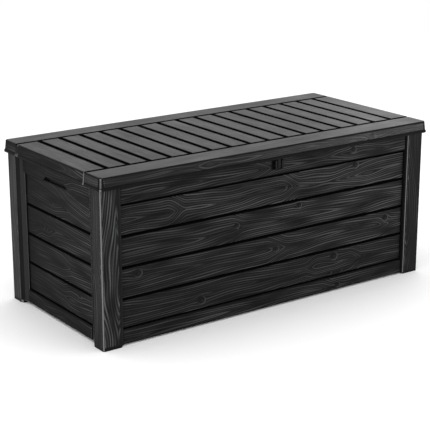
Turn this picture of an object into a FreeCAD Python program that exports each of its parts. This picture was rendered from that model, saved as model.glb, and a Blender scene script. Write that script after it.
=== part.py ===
import FreeCAD, Part
import math
import os
from types import SimpleNamespace

import Sketcher

# Deck storage box in moulded resin: four walls of boards between corner posts, a ribbed floor and a slatted
# lid on three rear hinges, held open by two gas struts.
# Frame: X along the length, the front faces -Y, Z up. The origin is on the ground under the box's centre.
# Sizes are in millimetres.

DIMENSIONS = (
    # Overall, over the lid's skirt
    ("box_length", 1550),
    ("box_width", 724),
    ("box_height", 644),
    ("end_overhang", 10),
    ("front_overhang", 18),
    ("fit_gap", 0.5),
    # Lid shell
    ("skirt_height", 46),
    ("skirt_lean", 4),
    ("skirt_wall", 4),
    ("lip_height", 9),
    ("lip_proud", 2),
    ("lip_bevel", 1.5),
    ("lid_wall", 8),
    ("lid_corner", 14),
    ("lid_edge", 3),
    ("slat_pitch", 90),
    ("slat_grooves", 16),
    ("slat_groove_width", 13),
    ("slat_groove_depth", 5),
    ("front_board", 106),
    ("rear_board", 97),
    ("board_groove_width", 9),
    ("board_groove_depth", 5),
    ("end_notch_width", 7),
    ("end_notch_depth", 2),
    ("seat_depth", 10),
    ("seat_width", 16),
    ("lid_rib", 4),
    ("lid_rib_pitch", 180),
    ("lid_rib_count", 7),
    ("lid_rib_reach", 300),
    ("long_rib_place", 90),
    # Walls
    ("panel_thickness", 22),
    ("front_recess", 16),
    ("end_recess", 22),
    ("band_depth", 8),
    ("panel_foot", 7),
    ("end_panel_foot", 11),
    ("end_header_rise", 4),
    ("end_header_reach", 251),
    ("end_header_corner", 14),
    ("rail_top", 62),
    ("board_pitch", 117.5),
    ("board_count", 4),
    ("shiplap_depth", 9),
    ("shiplap_height", 8),
    ("rail_bevel", 3),
    ("rail_gap", 4),
    ("rail_gap_depth", 4.5),
    ("cell_depth", 17),
    ("wall_rib", 4),
    ("front_cell_width", 168),
    ("front_cell_columns", 8),
    ("end_cell_width", 132),
    ("end_cell_columns", 4),
    ("ledge_depth", 8),
    ("ledge_height", 8),
    # Finger slots
    ("slot_width", 190),
    ("slot_top_width", 134),
    ("slot_height", 20),
    ("grip_height", 56),
    ("grip_drop", 20),
    ("grip_wall", 4),
    ("grip_back_wall", 8),
    # Corner posts
    ("post_face", 85),
    ("post_side", 103),
    ("post_wall", 4),
    ("post_corner", 5),
    ("face_bevel_width", 8),
    ("face_bevel_depth", 3),
    ("side_bevel_width", 41),
    ("side_bevel_depth", 18),
    ("foot_notch_face", 7),
    ("foot_notch_side", 30),
    # Floor
    ("floor_under", 22),
    ("floor_thickness", 6),
    ("floor_rib", 4),
    ("floor_rib_pitch", 118),
    ("floor_rib_count", 12),
    ("floor_long_pitch", 190),
    ("floor_long_count", 4),
    # Screws
    ("screw_radius", 2.2),
    ("screw_head_radius", 4.5),
    ("screw_head_height", 2.5),
    ("screw_clearance", 0.1),
    ("screw_bite", 10),
    ("lid_bite", 5.5),
    ("post_screw_inset", 14),
    ("post_screw_low", 90),
    ("post_screw_pitch", 150),
    ("post_screw_rows", 4),
    # Hinges
    ("hinge_back", 10),
    ("hinge_rise", 2),
    ("hinge_spread", 500),
    ("hinge_length", 60),
    ("knuckle_radius", 7),
    ("middle_knuckle", 23.4),
    ("knuckle_gap", 0.3),
    ("hinge_pin_radius", 2.5),
    ("pin_clearance", 0.05),
    ("pin_head_radius", 4),
    ("pin_head_height", 2),
    ("hinge_plate", 4),
    ("hinge_plate_height", 50),
    ("leaf_thickness", 4),
    ("flange_length", 50),
    ("flange_depth", 21),
    ("flange_screw_place", 18),
    ("hinge_notch_margin", 6),
    # Padlock eye
    ("lock_offset", 16),
    ("lock_width", 38),
    ("lock_height", 38),
    ("lock_plate", 3),
    ("lock_proud", 17),
    ("ear_thickness", 8),
    ("ear_bevel", 3),
    ("lock_drop", 4),
    ("eye_radius", 4.5),
    ("eye_rise", 14),
    ("eye_inset", 7),
    ("tongue_thickness", 12),
    ("tongue_depth", 12),
    ("lock_screw_drop", 8),
    # Stiffening tubes
    ("tube_size", 20),
    ("tube_wall", 1.5),
    ("tube_length", 1330),
    ("tube_place", 190),
    ("tube_gap", 0.25),
    ("strap_thickness", 2),
    ("strap_width", 16),
    ("strap_reach", 26),
    ("strap_pitch", 540),
    ("boss_radius", 6),
    ("boss_place", 18),
    # Gas struts
    ("strut_inset", 15),
    ("wall_pivot_place", 30),
    ("wall_pivot_height", 540),
    ("lid_pivot_reach", 100),
    ("lid_pivot_rise", 10),
    ("strut_radius", 9),
    ("strut_bore", 7),
    ("strut_start", 12),
    ("strut_plug", 14),
    ("strut_tube_length", 186),
    ("gland_depth", 12),
    ("gland_cap", 6),
    ("rod_radius", 4),
    ("rod_start", 29),
    ("piston_height", 8),
    ("socket_radius", 8),
    ("socket_width", 10),
    ("stud_radius", 4),
    ("stud_head_radius", 6),
    ("stud_head_height", 2),
    ("bracket_thickness", 3),
    ("bracket_half_width", 14),
    ("bracket_length", 36),
    ("bracket_screw_place", 13),
    ("lid_flange_half_width", 26),
    ("lid_flange_screw_place", 20),
    ("lid_flange_screw_inset", 9),
    ("open_pivot_gap", 0.5),
)

doc = FreeCAD.newDocument("DeckBox")
sheet = doc.addObject("Spreadsheet::Sheet", "Sizes")


class Formula:
    """A value worked out from the sheet's cells: the expression's text, and what it comes to now."""

    def __init__(self, text, value):
        self.text = text
        self.value = value

    def join(self, sign, other, value):
        return Formula(f"({self.text} {sign} {other.text})", value)

    def __add__(self, other):
        other = formula(other)
        return self.join("+", other, self.value + other.value)

    def __sub__(self, other):
        other = formula(other)
        return self.join("-", other, self.value - other.value)

    def __mul__(self, other):
        other = formula(other)
        return self.join("*", other, self.value * other.value)

    def __truediv__(self, other):
        other = formula(other)
        return self.join("/", other, self.value / other.value)

    def __neg__(self):
        return Formula(f"(-1 * {self.text})", -self.value)

    __radd__ = __add__
    __rmul__ = __mul__


def formula(value):
    return value if isinstance(value, Formula) else Formula(repr(float(value)), float(value))


def length_of(run, rise):
    """The length of the line that goes run along and rise up."""
    return Formula(f"sqrt(({run.text})^2 + ({rise.text})^2)", math.hypot(run.value, rise.value))


def angle_of(run, rise):
    """The angle in degrees above the horizontal of the same line."""
    text = f"atan2({rise.text}; {run.text})"
    return Formula(text, math.degrees(math.atan2(rise.value, run.value)))


def fill_sheet():
    cells = {}
    for row, (name, value) in enumerate(DIMENSIONS, start=1):
        sheet.set(f"A{row}", name)
        sheet.set(f"B{row}", str(value))
        sheet.setAlias(f"B{row}", name)
        cells[name] = Formula(f"Sizes.{name}", float(value))
    doc.recompute()
    return SimpleNamespace(**cells)


d = fill_sheet()

# Planes and heights that more than one piece shares, for the +X, +Y quarter of the box
half_length = d.box_length / 2
half_width = d.box_width / 2
skirt_bottom = d.box_height - d.skirt_height
lid_underside = d.box_height - d.lid_wall
wall_top = lid_underside - d.seat_depth
post_x = half_length - d.end_overhang
post_y = half_width - d.front_overhang
board_x = post_x - d.end_recess
board_y = post_y - d.front_recess
band_x = board_x + d.band_depth
band_y = board_y + d.band_depth
inner_x = board_x - d.panel_thickness
inner_y = board_y - d.panel_thickness
long_panel_end = post_x - d.post_wall - d.fit_gap
post_inner_x = post_x - d.post_face
post_inner_y = post_y - d.post_side
header_bottom = d.rail_top + d.board_count * d.board_pitch
end_header_bottom = header_bottom + d.end_header_rise
board_joints = [d.rail_top + joint * d.board_pitch for joint in range(1, int(d.board_count.value))]
cell_low = d.rail_top + d.wall_rib
cell_height = d.board_pitch - d.shiplap_height - 2 * d.wall_rib
post_screw_x = inner_x - d.post_screw_inset
hole_radius = d.screw_radius + d.screw_clearance
hinge_y = half_width - d.hinge_back
hinge_z = skirt_bottom + d.hinge_rise
pin_bore = d.hinge_pin_radius + d.pin_clearance
rib_bottom = lid_underside - d.tube_size
strut_x = inner_x - d.strut_inset
lid_pivot_y = hinge_y - d.lid_pivot_reach
lid_pivot_z = hinge_z + d.lid_pivot_rise
strut_run = lid_pivot_y - d.wall_pivot_place
strut_rise = lid_pivot_z - d.wall_pivot_height
strut_length = length_of(strut_run, strut_rise)
strut_angle = angle_of(strut_run, strut_rise)
eye_y = -1 * (band_y + d.lock_proud - d.eye_inset)
lock_top = skirt_bottom - d.lock_drop
lock_bottom = lock_top - d.lock_height
eye_z = lock_bottom + d.eye_rise
lock_screw_x = (d.lock_width - d.ear_thickness) / 2
lock_screw_z = lock_top - d.lock_screw_drop
hinge_screw_z = hinge_z - d.knuckle_radius - d.hinge_plate_height / 2
leaf_screw_y = hinge_y - d.flange_depth / 2
tongue_screw_y = eye_y + d.eye_radius
wall_screw_bite = d.grip_back_wall - 2
lid_flange_screw_x = strut_x - d.lid_flange_screw_inset

pieces = []


# ---------------------------------------------------------------- building blocks


def new_body(name):
    body = doc.addObject("PartDesign::Body", name)
    body.Label = name
    pieces.append(body)
    return body


def origin(body, role):
    return next(item for item in body.Origin.OriginFeatures if item.Role == role)


def bind(item, prop, value):
    item.setExpression(prop, formula(value).text)


def new_sketch(body, name, role, offset=0):
    sketch = body.newObject("Sketcher::SketchObject", name)
    sketch.AttachmentSupport = [(origin(body, role), "")]
    sketch.MapMode = "FlatFace"
    bind(sketch, "AttachmentOffset.Base.z", offset)
    return sketch


def hold_point(sketch, line, x, y):
    """Ties the start of a line to its distances from the sketch's origin."""
    for kind, value in (("DistanceX", x), ("DistanceY", y)):
        number = sketch.addConstraint(Sketcher.Constraint(kind, -1, 1, line, 1, value.value))
        bind(sketch, f"Constraints[{number}]", value)


def outline(sketch, points):
    """Draws a closed outline of straight lines through the points."""
    points = [(formula(x), formula(y)) for x, y in points]
    first = sketch.GeometryCount
    count = len(points)
    for i, (x, y) in enumerate(points):
        after = points[(i + 1) % count]
        start = FreeCAD.Vector(x.value, y.value, 0)
        end = FreeCAD.Vector(after[0].value, after[1].value, 0)
        sketch.addGeometry(Part.LineSegment(start, end), False)
    for i in range(count):
        following = first + (i + 1) % count
        sketch.addConstraint(Sketcher.Constraint("Coincident", first + i, 2, following, 1))
    for i, (x, y) in enumerate(points):
        hold_point(sketch, first + i, x, y)


def rectangle(sketch, low_x, high_x, low_y, high_y):
    outline(sketch, [(low_x, low_y), (high_x, low_y), (high_x, high_y), (low_x, high_y)])


def extrude(body, kind, name, sketch, length, **settings):
    feature = body.newObject(f"PartDesign::{kind}", name)
    feature.Profile = sketch
    bind(feature, "Length", length)
    for prop, value in settings.items():
        if isinstance(value, Formula):
            bind(feature, prop, value)
        else:
            setattr(feature, prop, value)
    body.Tip = feature
    return feature


def place(item, x, y, z):
    """Ties the place of a primitive or body to its formulas."""
    x, y, z = formula(x), formula(y), formula(z)
    item.Placement.Base = FreeCAD.Vector(x.value, y.value, z.value)
    bind(item, "Placement.Base.x", x)
    bind(item, "Placement.Base.y", y)
    bind(item, "Placement.Base.z", z)


def block(body, name, x_span, y_span, z_span, cut=False):
    """Adds or cuts a box. Each span is its two ends, in either order."""
    kind = "PartDesign::SubtractiveBox" if cut else "PartDesign::AdditiveBox"
    box = body.newObject(kind, name)
    low = []
    for prop, span in (("Length", x_span), ("Width", y_span), ("Height", z_span)):
        start, end = sorted((formula(value) for value in span), key=lambda item: item.value)
        bind(box, prop, end - start)
        low.append(start)
    place(box, *low)
    body.Tip = box
    return box


TURNS = {
    "X": FreeCAD.Rotation(FreeCAD.Vector(0, 1, 0), 90),
    "Y": FreeCAD.Rotation(FreeCAD.Vector(-1, 0, 0), 90),
    "Z": FreeCAD.Rotation(),
}


def round_bar(body, name, axis, start, radius, length, cut=False):
    """Adds or cuts a cylinder that runs from its start point along +axis."""
    kind = "PartDesign::SubtractiveCylinder" if cut else "PartDesign::AdditiveCylinder"
    bar = body.newObject(kind, name)
    bind(bar, "Radius", radius)
    bind(bar, "Height", length)
    bar.Placement = FreeCAD.Placement(FreeCAD.Vector(), TURNS[axis])
    place(bar, *start)
    body.Tip = bar
    return bar


def pattern(body, name, features, *ways):
    """Repeats features along one or two of the origin's axes. A way is (axis role, spacing, count)."""
    rows = body.newObject("PartDesign::LinearPattern", name)
    rows.Originals = features
    for suffix, (role, spacing, count) in zip(("", "2"), ways):
        setattr(rows, "Direction" + suffix, (origin(body, role), [""]))
        bind(rows, "Length" + suffix, spacing * (count - 1))
        bind(rows, "Occurrences" + suffix, count)
    body.Tip = rows
    return rows


def edges_where(feature, test):
    """Names of the edges whose middle and direction pass a test."""
    found = []
    for number, edge in enumerate(feature.Shape.Edges, start=1):
        ends = [vertex.Point for vertex in edge.Vertexes]
        if len(ends) == 2 and test(ends[0], ends[1]):
            found.append(f"Edge{number}")
    return found


def dress(body, kind, name, feature, test, size):
    """Rounds or bevels the edges of the newest feature that pass the test."""
    doc.recompute()
    dressed = body.newObject(f"PartDesign::{kind}", name)
    dressed.Base = (feature, edges_where(feature, test))
    bind(dressed, "Radius" if kind == "Fillet" else "Size", size)
    body.Tip = dressed
    return dressed


def near(a, b):
    return abs(a - b) < 0.01


def vertical(a, b):
    return near(a.x, b.x) and near(a.y, b.y) and not near(a.z, b.z)


# ---------------------------------------------------------------- walls


def board_section(face, inner, foot, sign, joints):
    """Outline of a wall of boards. Under each joint the lower board slopes in behind what is above it."""
    points = [
        (sign * inner, foot),
        (sign * face, foot),
        (sign * face, d.rail_top),
        (sign * (face - d.rail_gap_depth), d.rail_top),
        (sign * face, d.rail_top + d.rail_gap),
    ]
    for height in joints:
        points.append((sign * face, height - d.shiplap_height))
        points.append((sign * (face - d.shiplap_depth), height))
        points.append((sign * face, height))
    points.append((sign * face, wall_top))
    points.append((sign * inner, wall_top))
    return points


def bottom_rail(body, role, face, foot, half_span, sign):
    """Adds the rail that stands proud of the boards along their foot, with a bevelled top edge."""
    band = face + d.band_depth
    section = new_sketch(body, "rail_outline", role)
    outline(
        section,
        [
            (sign * face, foot),
            (sign * band, foot),
            (sign * band, d.rail_top - d.rail_bevel),
            (sign * (band - d.rail_bevel), d.rail_top),
            (sign * face, d.rail_top),
        ],
    )
    extrude(body, "Pad", "rail", section, 2 * half_span, Midplane=True)


def cell_rows(body, axis, width, columns, across, inner, sign):
    """Hollows each board from the inside, leaving ribs between the cells and behind the joints."""
    pitch = width + d.wall_rib
    start = -1 * (columns * pitch - d.wall_rib) / 2
    spans = {
        axis: (start, start + width),
        across: (sign * inner, sign * (inner + d.cell_depth)),
        "Z": (cell_low, cell_low + cell_height),
    }
    cell = block(body, "cell", spans["X"], spans["Y"], spans["Z"], cut=True)
    ways = ((f"{axis}_Axis", pitch, columns), ("Z_Axis", d.board_pitch, d.board_count))
    pattern(body, "cells", [cell], *ways)


def long_panel(name, sign):
    """The front or rear wall. It runs behind the posts at both ends."""
    body = new_body(name)
    section = new_sketch(body, "boards_outline", "YZ_Plane")
    joints = [*board_joints, header_bottom]
    outline(section, board_section(board_y, inner_y, d.panel_foot, sign, joints))
    extrude(body, "Pad", "boards", section, 2 * long_panel_end, Midplane=True)
    half_span = post_inner_x - d.fit_gap
    bottom_rail(body, "YZ_Plane", board_y, d.panel_foot, half_span, sign)
    block(
        body,
        "header",
        (-1 * half_span, half_span),
        (sign * board_y, sign * band_y),
        (header_bottom, wall_top),
    )
    cell_rows(body, "X", d.front_cell_width, d.front_cell_columns, "Y", inner_y, sign)
    block(
        body,
        "ledge",
        (-1 * (inner_x - d.ledge_depth), inner_x - d.ledge_depth),
        (sign * inner_y, sign * (inner_y - d.ledge_depth)),
        (d.floor_under - d.ledge_height, d.floor_under),
    )
    hole = bore_y(body, "screw_hole", -1 * post_screw_x, d.post_screw_low, inner_y, board_y, sign)
    ways = (
        ("X_Axis", 2 * post_screw_x, formula(2)),
        ("Z_Axis", d.post_screw_pitch, d.post_screw_rows),
    )
    pattern(body, "screw_holes", [hole], *ways)
    return body


def bore_y(body, name, x, z, near_y, far_y, sign):
    """Bores a screw hole along Y between two distances from the middle of the box."""
    start = near_y if sign > 0 else -1 * far_y
    return round_bar(body, name, "Y", (x, start, z), hole_radius, far_y - near_y, cut=True)


def front_panel():
    """The front wall, bored for the screws that hold the padlock bracket."""
    body = long_panel("front_panel", -1)
    hole = bore_y(body, "lock_hole", d.lock_offset - lock_screw_x, lock_screw_z, inner_y, band_y, -1)
    pattern(body, "lock_holes", [hole], ("X_Axis", 2 * lock_screw_x, formula(2)))


def rear_panel():
    """The rear wall, bored for the hinges' screws."""
    body = long_panel("rear_panel", 1)
    holes = []
    for label, offset in (("left", -1 * d.hinge_length / 4), ("right", d.hinge_length / 4)):
        x = offset - d.hinge_spread
        hole = bore_y(body, f"hinge_hole_{label}", x, hinge_screw_z, band_y - d.screw_bite, band_y, 1)
        holes.append(hole)
    pattern(body, "hinge_holes", holes, ("X_Axis", d.hinge_spread, formula(3)))


def side_panel(name, sign):
    """The left or right wall, between the long walls, with a finger slot under its header."""
    body = new_body(name)
    section = new_sketch(body, "boards_outline", "XZ_Plane")
    outline(section, board_section(board_x, inner_x, d.end_panel_foot, sign, board_joints))
    extrude(body, "Pad", "boards", section, 2 * inner_y, Midplane=True)
    bottom_rail(body, "XZ_Plane", board_x, d.end_panel_foot, post_inner_y - d.fit_gap, sign)
    header = block(
        body,
        "header",
        (sign * board_x, sign * band_x),
        (-1 * d.end_header_reach, d.end_header_reach),
        (end_header_bottom, wall_top),
    )

    def header_corner(a, b):
        low = near(a.z, end_header_bottom.value) and near(b.z, end_header_bottom.value)
        return low and near(a.y, b.y) and near(abs(a.y), d.end_header_reach.value)

    dress(body, "Fillet", "header_corners", header, header_corner, d.end_header_corner)
    cell_rows(body, "Y", d.end_cell_width, d.end_cell_columns, "X", inner_x, sign)
    block(
        body,
        "ledge",
        (sign * inner_x, sign * (inner_x - d.ledge_depth)),
        (-1 * (inner_y - d.ledge_depth), inner_y - d.ledge_depth),
        (d.floor_under - d.ledge_height, d.floor_under),
    )
    finger_slot(body, sign)
    for level, offset in (("low", -1), ("high", 1)):
        start = inner_x if sign > 0 else -1 * (inner_x + wall_screw_bite)
        z = d.wall_pivot_height + offset * d.bracket_screw_place
        seat = (start, d.wall_pivot_place, z)
        round_bar(body, f"screw_hole_{level}", "X", seat, hole_radius, wall_screw_bite, cut=True)
    return body


def finger_slot(body, sign):
    """Cuts a slot in the header's lower edge, and the hollow behind it that fingers curl up into."""
    half = d.slot_width / 2
    back = inner_x + d.grip_back_wall
    grip_top = end_header_bottom + d.grip_height
    drop_bottom = end_header_bottom - d.grip_drop
    grip_x = (sign * back, sign * (band_x - d.grip_wall))
    drop_x = (sign * back, sign * (board_x - d.grip_wall))
    block(body, "grip_hollow", grip_x, (-1 * half, half), (end_header_bottom, grip_top), cut=True)
    block(body, "grip_trough", drop_x, (-1 * half, half), (drop_bottom, end_header_bottom), cut=True)
    slot = new_sketch(body, "slot_outline", "YZ_Plane", sign * (band_x + d.fit_gap))
    slot_top = end_header_bottom + d.slot_height
    half_top = d.slot_top_width / 2
    corners = [
        (-1 * half, end_header_bottom),
        (half, end_header_bottom),
        (half_top, slot_top),
        (-1 * half_top, slot_top),
    ]
    outline(slot, corners)
    # A pocket cuts against its sketch's normal, which is +X, so the left wall's is turned round.
    extrude(body, "Pocket", "slot", slot, d.grip_wall + 2 * d.fit_gap, Reversed=sign < 0)


# ---------------------------------------------------------------- corner posts


def corner_post(name, side, face):
    """A hollow post, open underneath, whose sides reach back to the boards of both walls."""
    body = new_body(name)
    section = new_sketch(body, "post_outline", "XY_Plane")
    quarter = [
        (post_x, post_y),
        (post_inner_x + d.face_bevel_width, post_y),
        (post_inner_x, post_y - d.face_bevel_depth),
        (post_inner_x, board_y),
        (long_panel_end, board_y),
        (long_panel_end, inner_y),
        (board_x, inner_y),
        (board_x, post_inner_y),
        (post_x - d.side_bevel_depth, post_inner_y),
        (post_x, post_inner_y + d.side_bevel_width),
    ]
    outline(section, [(side * x, face * y) for x, y in quarter])
    post = extrude(body, "Pad", "post", section, wall_top)

    def outer_corner(a, b):
        return vertical(a, b) and near(a.x, side * post_x.value) and near(a.y, face * post_y.value)

    dress(body, "Fillet", "rounded_corner", post, outer_corner, d.post_corner)
    block(
        body,
        "side_hollow",
        (side * (board_x + d.post_wall), side * (post_x - d.post_wall)),
        (face * (post_inner_y + d.side_bevel_width + d.post_wall), face * (inner_y - d.post_wall)),
        (0, wall_top - d.post_wall),
        cut=True,
    )
    block(
        body,
        "face_hollow",
        (side * (post_screw_x + d.screw_head_radius + d.post_wall), side * (long_panel_end - d.post_wall)),
        (face * (board_y + d.post_wall), face * (post_y - d.post_wall)),
        (0, wall_top - d.post_wall),
        cut=True,
    )
    block(
        body,
        "face_foot_notch",
        (side * post_inner_x, side * (post_inner_x + d.foot_notch_face)),
        (face * board_y, face * post_y),
        (0, d.panel_foot),
        cut=True,
    )
    block(
        body,
        "side_foot_notch",
        (side * board_x, side * post_x),
        (face * post_inner_y, face * (post_inner_y + d.foot_notch_side)),
        (0, d.end_panel_foot),
        cut=True,
    )
    block(
        body,
        "header_seat",
        (side * board_x, side * (band_x + d.fit_gap)),
        (face * post_inner_y, face * (d.end_header_reach + d.fit_gap)),
        (end_header_bottom, wall_top),
        cut=True,
    )
    pilot_x = side * post_screw_x
    pilot_end = board_y + d.screw_bite
    pilot = bore_y(body, "screw_pilot", pilot_x, d.post_screw_low, board_y, pilot_end, face)
    pattern(body, "screw_pilots", [pilot], ("Z_Axis", d.post_screw_pitch, d.post_screw_rows))
    return body


# ---------------------------------------------------------------- floor


def floor_panel():
    """A plate on the walls' ledges, with ribs that stand on the ground."""
    body = new_body("floor_panel")
    plate_x = inner_x - d.fit_gap
    plate_y = inner_y - d.fit_gap
    rib_x = inner_x - 2 * d.ledge_depth
    rib_y = inner_y - 2 * d.ledge_depth
    floor_top = d.floor_under + d.floor_thickness
    block(body, "plate", (-1 * plate_x, plate_x), (-1 * plate_y, plate_y), (d.floor_under, floor_top))
    first_x = -1 * (d.floor_rib_count - 1) * d.floor_rib_pitch / 2 - d.floor_rib / 2
    rib = block(
        body, "cross_rib", (first_x, first_x + d.floor_rib), (-1 * rib_y, rib_y), (0, d.floor_under)
    )
    pattern(body, "cross_ribs", [rib], ("X_Axis", d.floor_rib_pitch, d.floor_rib_count))
    first_y = -1 * (d.floor_long_count - 1) * d.floor_long_pitch / 2 - d.floor_rib / 2
    rib = block(
        body, "long_rib", (-1 * rib_x, rib_x), (first_y, first_y + d.floor_rib), (0, d.floor_under)
    )
    pattern(body, "long_ribs", [rib], ("Y_Axis", d.floor_long_pitch, d.floor_long_count))
    return body


# ---------------------------------------------------------------- lid


def lid_shell():
    """The slatted lid. Its skirt leans out to a lip, and ribs under the slats hold the stiffening tubes."""
    body = new_body("lid_shell")
    lean = Formula(
        f"(-1 * atan({d.skirt_lean.text} / {d.skirt_height.text}))",
        -math.degrees(math.atan2(d.skirt_lean.value, d.skirt_height.value)),
    )
    base_x = half_length - d.lip_proud
    base_y = half_width - d.lip_proud
    crown_x = base_x - d.skirt_lean
    crown_y = base_y - d.skirt_lean

    crown = new_sketch(body, "crown_outline", "XY_Plane", skirt_bottom)
    rectangle(crown, -1 * base_x, base_x, -1 * base_y, base_y)
    solid = extrude(body, "Pad", "crown", crown, d.skirt_height, TaperAngle=lean)
    solid = dress(
        body,
        "Fillet",
        "crown_corners",
        solid,
        lambda a, b: not near(a.z, b.z),
        d.lid_corner,
    )
    lip = new_sketch(body, "lip_outline", "XY_Plane", skirt_bottom)
    rectangle(lip, -1 * half_length, half_length, -1 * half_width, half_width)
    solid = extrude(body, "Pad", "lip", lip, d.lip_height)

    def lip_corner(a, b):
        return vertical(a, b) and near(abs(a.x), half_length.value) and near(abs(a.y), half_width.value)

    solid = dress(body, "Fillet", "lip_corners", solid, lip_corner, d.lid_corner + d.lip_proud)
    lip_top = skirt_bottom.value + d.lip_height.value

    def lip_edge(a, b):
        outside = all(
            abs(p.x) > base_x.value or abs(p.y) > base_y.value or near(p.z, lip_top) for p in (a, b)
        )
        long_edge = near(a.z, lip_top) and near(b.z, lip_top)
        on_rim = all(
            near(abs(p.x), half_length.value) or near(abs(p.y), half_width.value) for p in (a, b)
        )
        return outside and long_edge and on_rim

    solid = dress(body, "Chamfer", "lip_bevel", solid, lip_edge, d.lip_bevel)
    solid = dress(
        body,
        "Fillet",
        "top_edge",
        solid,
        lambda a, b: near(a.z, d.box_height.value) and near(b.z, d.box_height.value),
        d.lid_edge,
    )

    inside = new_sketch(body, "inside_outline", "XY_Plane", skirt_bottom)
    inside_x = base_x - d.skirt_wall
    inside_y = base_y - d.skirt_wall
    rectangle(inside, -1 * inside_x, inside_x, -1 * inside_y, inside_y)
    extrude(
        body, "Pocket", "inside", inside, d.skirt_height - d.lid_wall, Reversed=True, TaperAngle=lean
    )

    seat = new_sketch(body, "seat_outline", "XY_Plane", wall_top)
    rectangle(seat, -1 * board_x, board_x, -1 * board_y, board_y)
    hole_x = board_x - d.seat_width
    hole_y = board_y - d.seat_width
    rectangle(seat, -1 * hole_x, hole_x, -1 * hole_y, hole_y)
    extrude(body, "Pad", "seat", seat, d.seat_depth)

    front_joint = -1 * (crown_y - d.front_board)
    rear_joint = crown_y - d.rear_board
    lid_grooves(body, front_joint, rear_joint, base_x)
    lid_ribs(body)
    lid_screw_holes(body)
    return body


def lid_grooves(body, front_joint, rear_joint, base_x):
    """Grooves between the slats, and the joints of the two long boards, which run on down the end skirts."""
    first = -1 * (d.slat_grooves - 1) * d.slat_pitch / 2 - d.slat_groove_width / 2
    groove = block(
        body,
        "slat_groove",
        (first, first + d.slat_groove_width),
        (front_joint, rear_joint),
        (d.box_height - d.slat_groove_depth, d.box_height),
        cut=True,
    )
    pattern(body, "slat_grooves", [groove], ("X_Axis", d.slat_pitch, d.slat_grooves))
    half_groove = d.board_groove_width / 2
    joint = block(
        body,
        "board_joint",
        (-1 * half_length, half_length),
        (front_joint - half_groove, front_joint + half_groove),
        (d.box_height - d.board_groove_depth, d.box_height),
        cut=True,
    )
    notches = [
        end_notch(body, "left", front_joint, -1, base_x),
        end_notch(body, "right", front_joint, 1, base_x),
    ]
    spacing = rear_joint - front_joint
    pattern(body, "board_joints", [joint, *notches], ("Y_Axis", spacing, formula(2)))
    half_notch = d.hinge_length / 2 + d.hinge_notch_margin
    notch = block(
        body,
        "hinge_notch",
        (-1 * d.hinge_spread - half_notch, -1 * d.hinge_spread + half_notch),
        (hinge_y - d.knuckle_radius, half_width),
        (skirt_bottom, hinge_z + d.knuckle_radius + 2 * d.pin_head_height),
        cut=True,
    )
    pattern(body, "hinge_notches", [notch], ("X_Axis", d.hinge_spread, formula(3)))


def end_notch(body, label, joint, side, base_x):
    """A V that carries a long board's joint down the lid's end skirt."""
    half = d.end_notch_width / 2
    profiles = []
    for level, height, lean in (
        ("low", skirt_bottom, formula(0)),
        ("high", d.box_height, d.skirt_lean),
    ):
        tip = side * (base_x - lean - d.end_notch_depth)
        mouth = side * (half_length + d.fit_gap)
        profile = new_sketch(body, f"notch_{level}_{label}", "XY_Plane", height)
        outline(profile, [(tip, joint), (mouth, joint - half), (mouth, joint + half)])
        profiles.append(profile)
    notch = body.newObject("PartDesign::SubtractiveLoft", f"notch_{label}")
    notch.Profile = profiles[0]
    notch.Sections = [profiles[1]]
    notch.Ruled = True
    body.Tip = notch
    return notch


def lid_ribs(body):
    """Ribs under the slats, their channels for the tubes, and bosses for the straps' screws."""
    rib_z = (rib_bottom, lid_underside)
    first = -1 * (d.lid_rib_count - 1) * d.lid_rib_pitch / 2 - d.lid_rib / 2
    reach = d.lid_rib_reach
    rib = block(body, "cross_rib", (first, first + d.lid_rib), (-1 * reach, reach), rib_z)
    pattern(body, "cross_ribs", [rib], ("X_Axis", d.lid_rib_pitch, d.lid_rib_count))
    low_y = -1 * d.long_rib_place - d.lid_rib / 2
    rib = block(body, "long_rib", (first, -1 * first), (low_y, low_y + d.lid_rib), rib_z)
    pattern(body, "long_ribs", [rib], ("Y_Axis", 2 * d.long_rib_place, formula(2)))

    tube_reach = d.tube_length / 2 + d.fit_gap
    half_channel = d.tube_size / 2 + d.tube_gap
    centre = -1 * d.tube_place
    channel_y = (centre - half_channel, centre + half_channel)
    channel = block(
        body, "tube_channel", (-1 * tube_reach, tube_reach), channel_y, rib_z, cut=True
    )
    pattern(body, "tube_channels", [channel], ("Y_Axis", 2 * d.tube_place, formula(2)))
    bosses = []
    for row, offset in (("inner", d.boss_place), ("outer", -1 * d.boss_place)):
        start = (-1 * d.strap_pitch, centre + offset, rib_bottom)
        boss = round_bar(body, f"boss_{row}", "Z", start, d.boss_radius, d.tube_size)
        hole = round_bar(body, f"boss_hole_{row}", "Z", start, hole_radius, d.screw_bite, cut=True)
        bosses.extend([boss, hole])
    ways = (
        ("X_Axis", d.strap_pitch, formula(3)),
        ("Y_Axis", 2 * d.tube_place, formula(2)),
    )
    pattern(body, "bosses", bosses, *ways)


def lid_screw_holes(body):
    """Blind holes in the lid's underside for the hinge leaves, the tongue and the strut brackets."""

    def hole(name, x, y):
        start = (x, y, lid_underside)
        return round_bar(body, name, "Z", start, hole_radius, d.lid_bite, cut=True)

    leaf = [
        hole("leaf_hole_left", -1 * d.flange_screw_place - d.hinge_spread, leaf_screw_y),
        hole("leaf_hole_right", d.flange_screw_place - d.hinge_spread, leaf_screw_y),
    ]
    pattern(body, "leaf_holes", leaf, ("X_Axis", d.hinge_spread, formula(3)))
    tongue = hole("tongue_hole", d.lock_offset - d.flange_screw_place, tongue_screw_y)
    pattern(body, "tongue_holes", [tongue], ("X_Axis", 2 * d.flange_screw_place, formula(2)))
    bracket = hole("bracket_hole", -1 * lid_flange_screw_x, lid_pivot_y - d.lid_flange_screw_place)
    ways = (
        ("X_Axis", 2 * lid_flange_screw_x, formula(2)),
        ("Y_Axis", 2 * d.lid_flange_screw_place, formula(2)),
    )
    pattern(body, "bracket_holes", [bracket], *ways)


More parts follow.
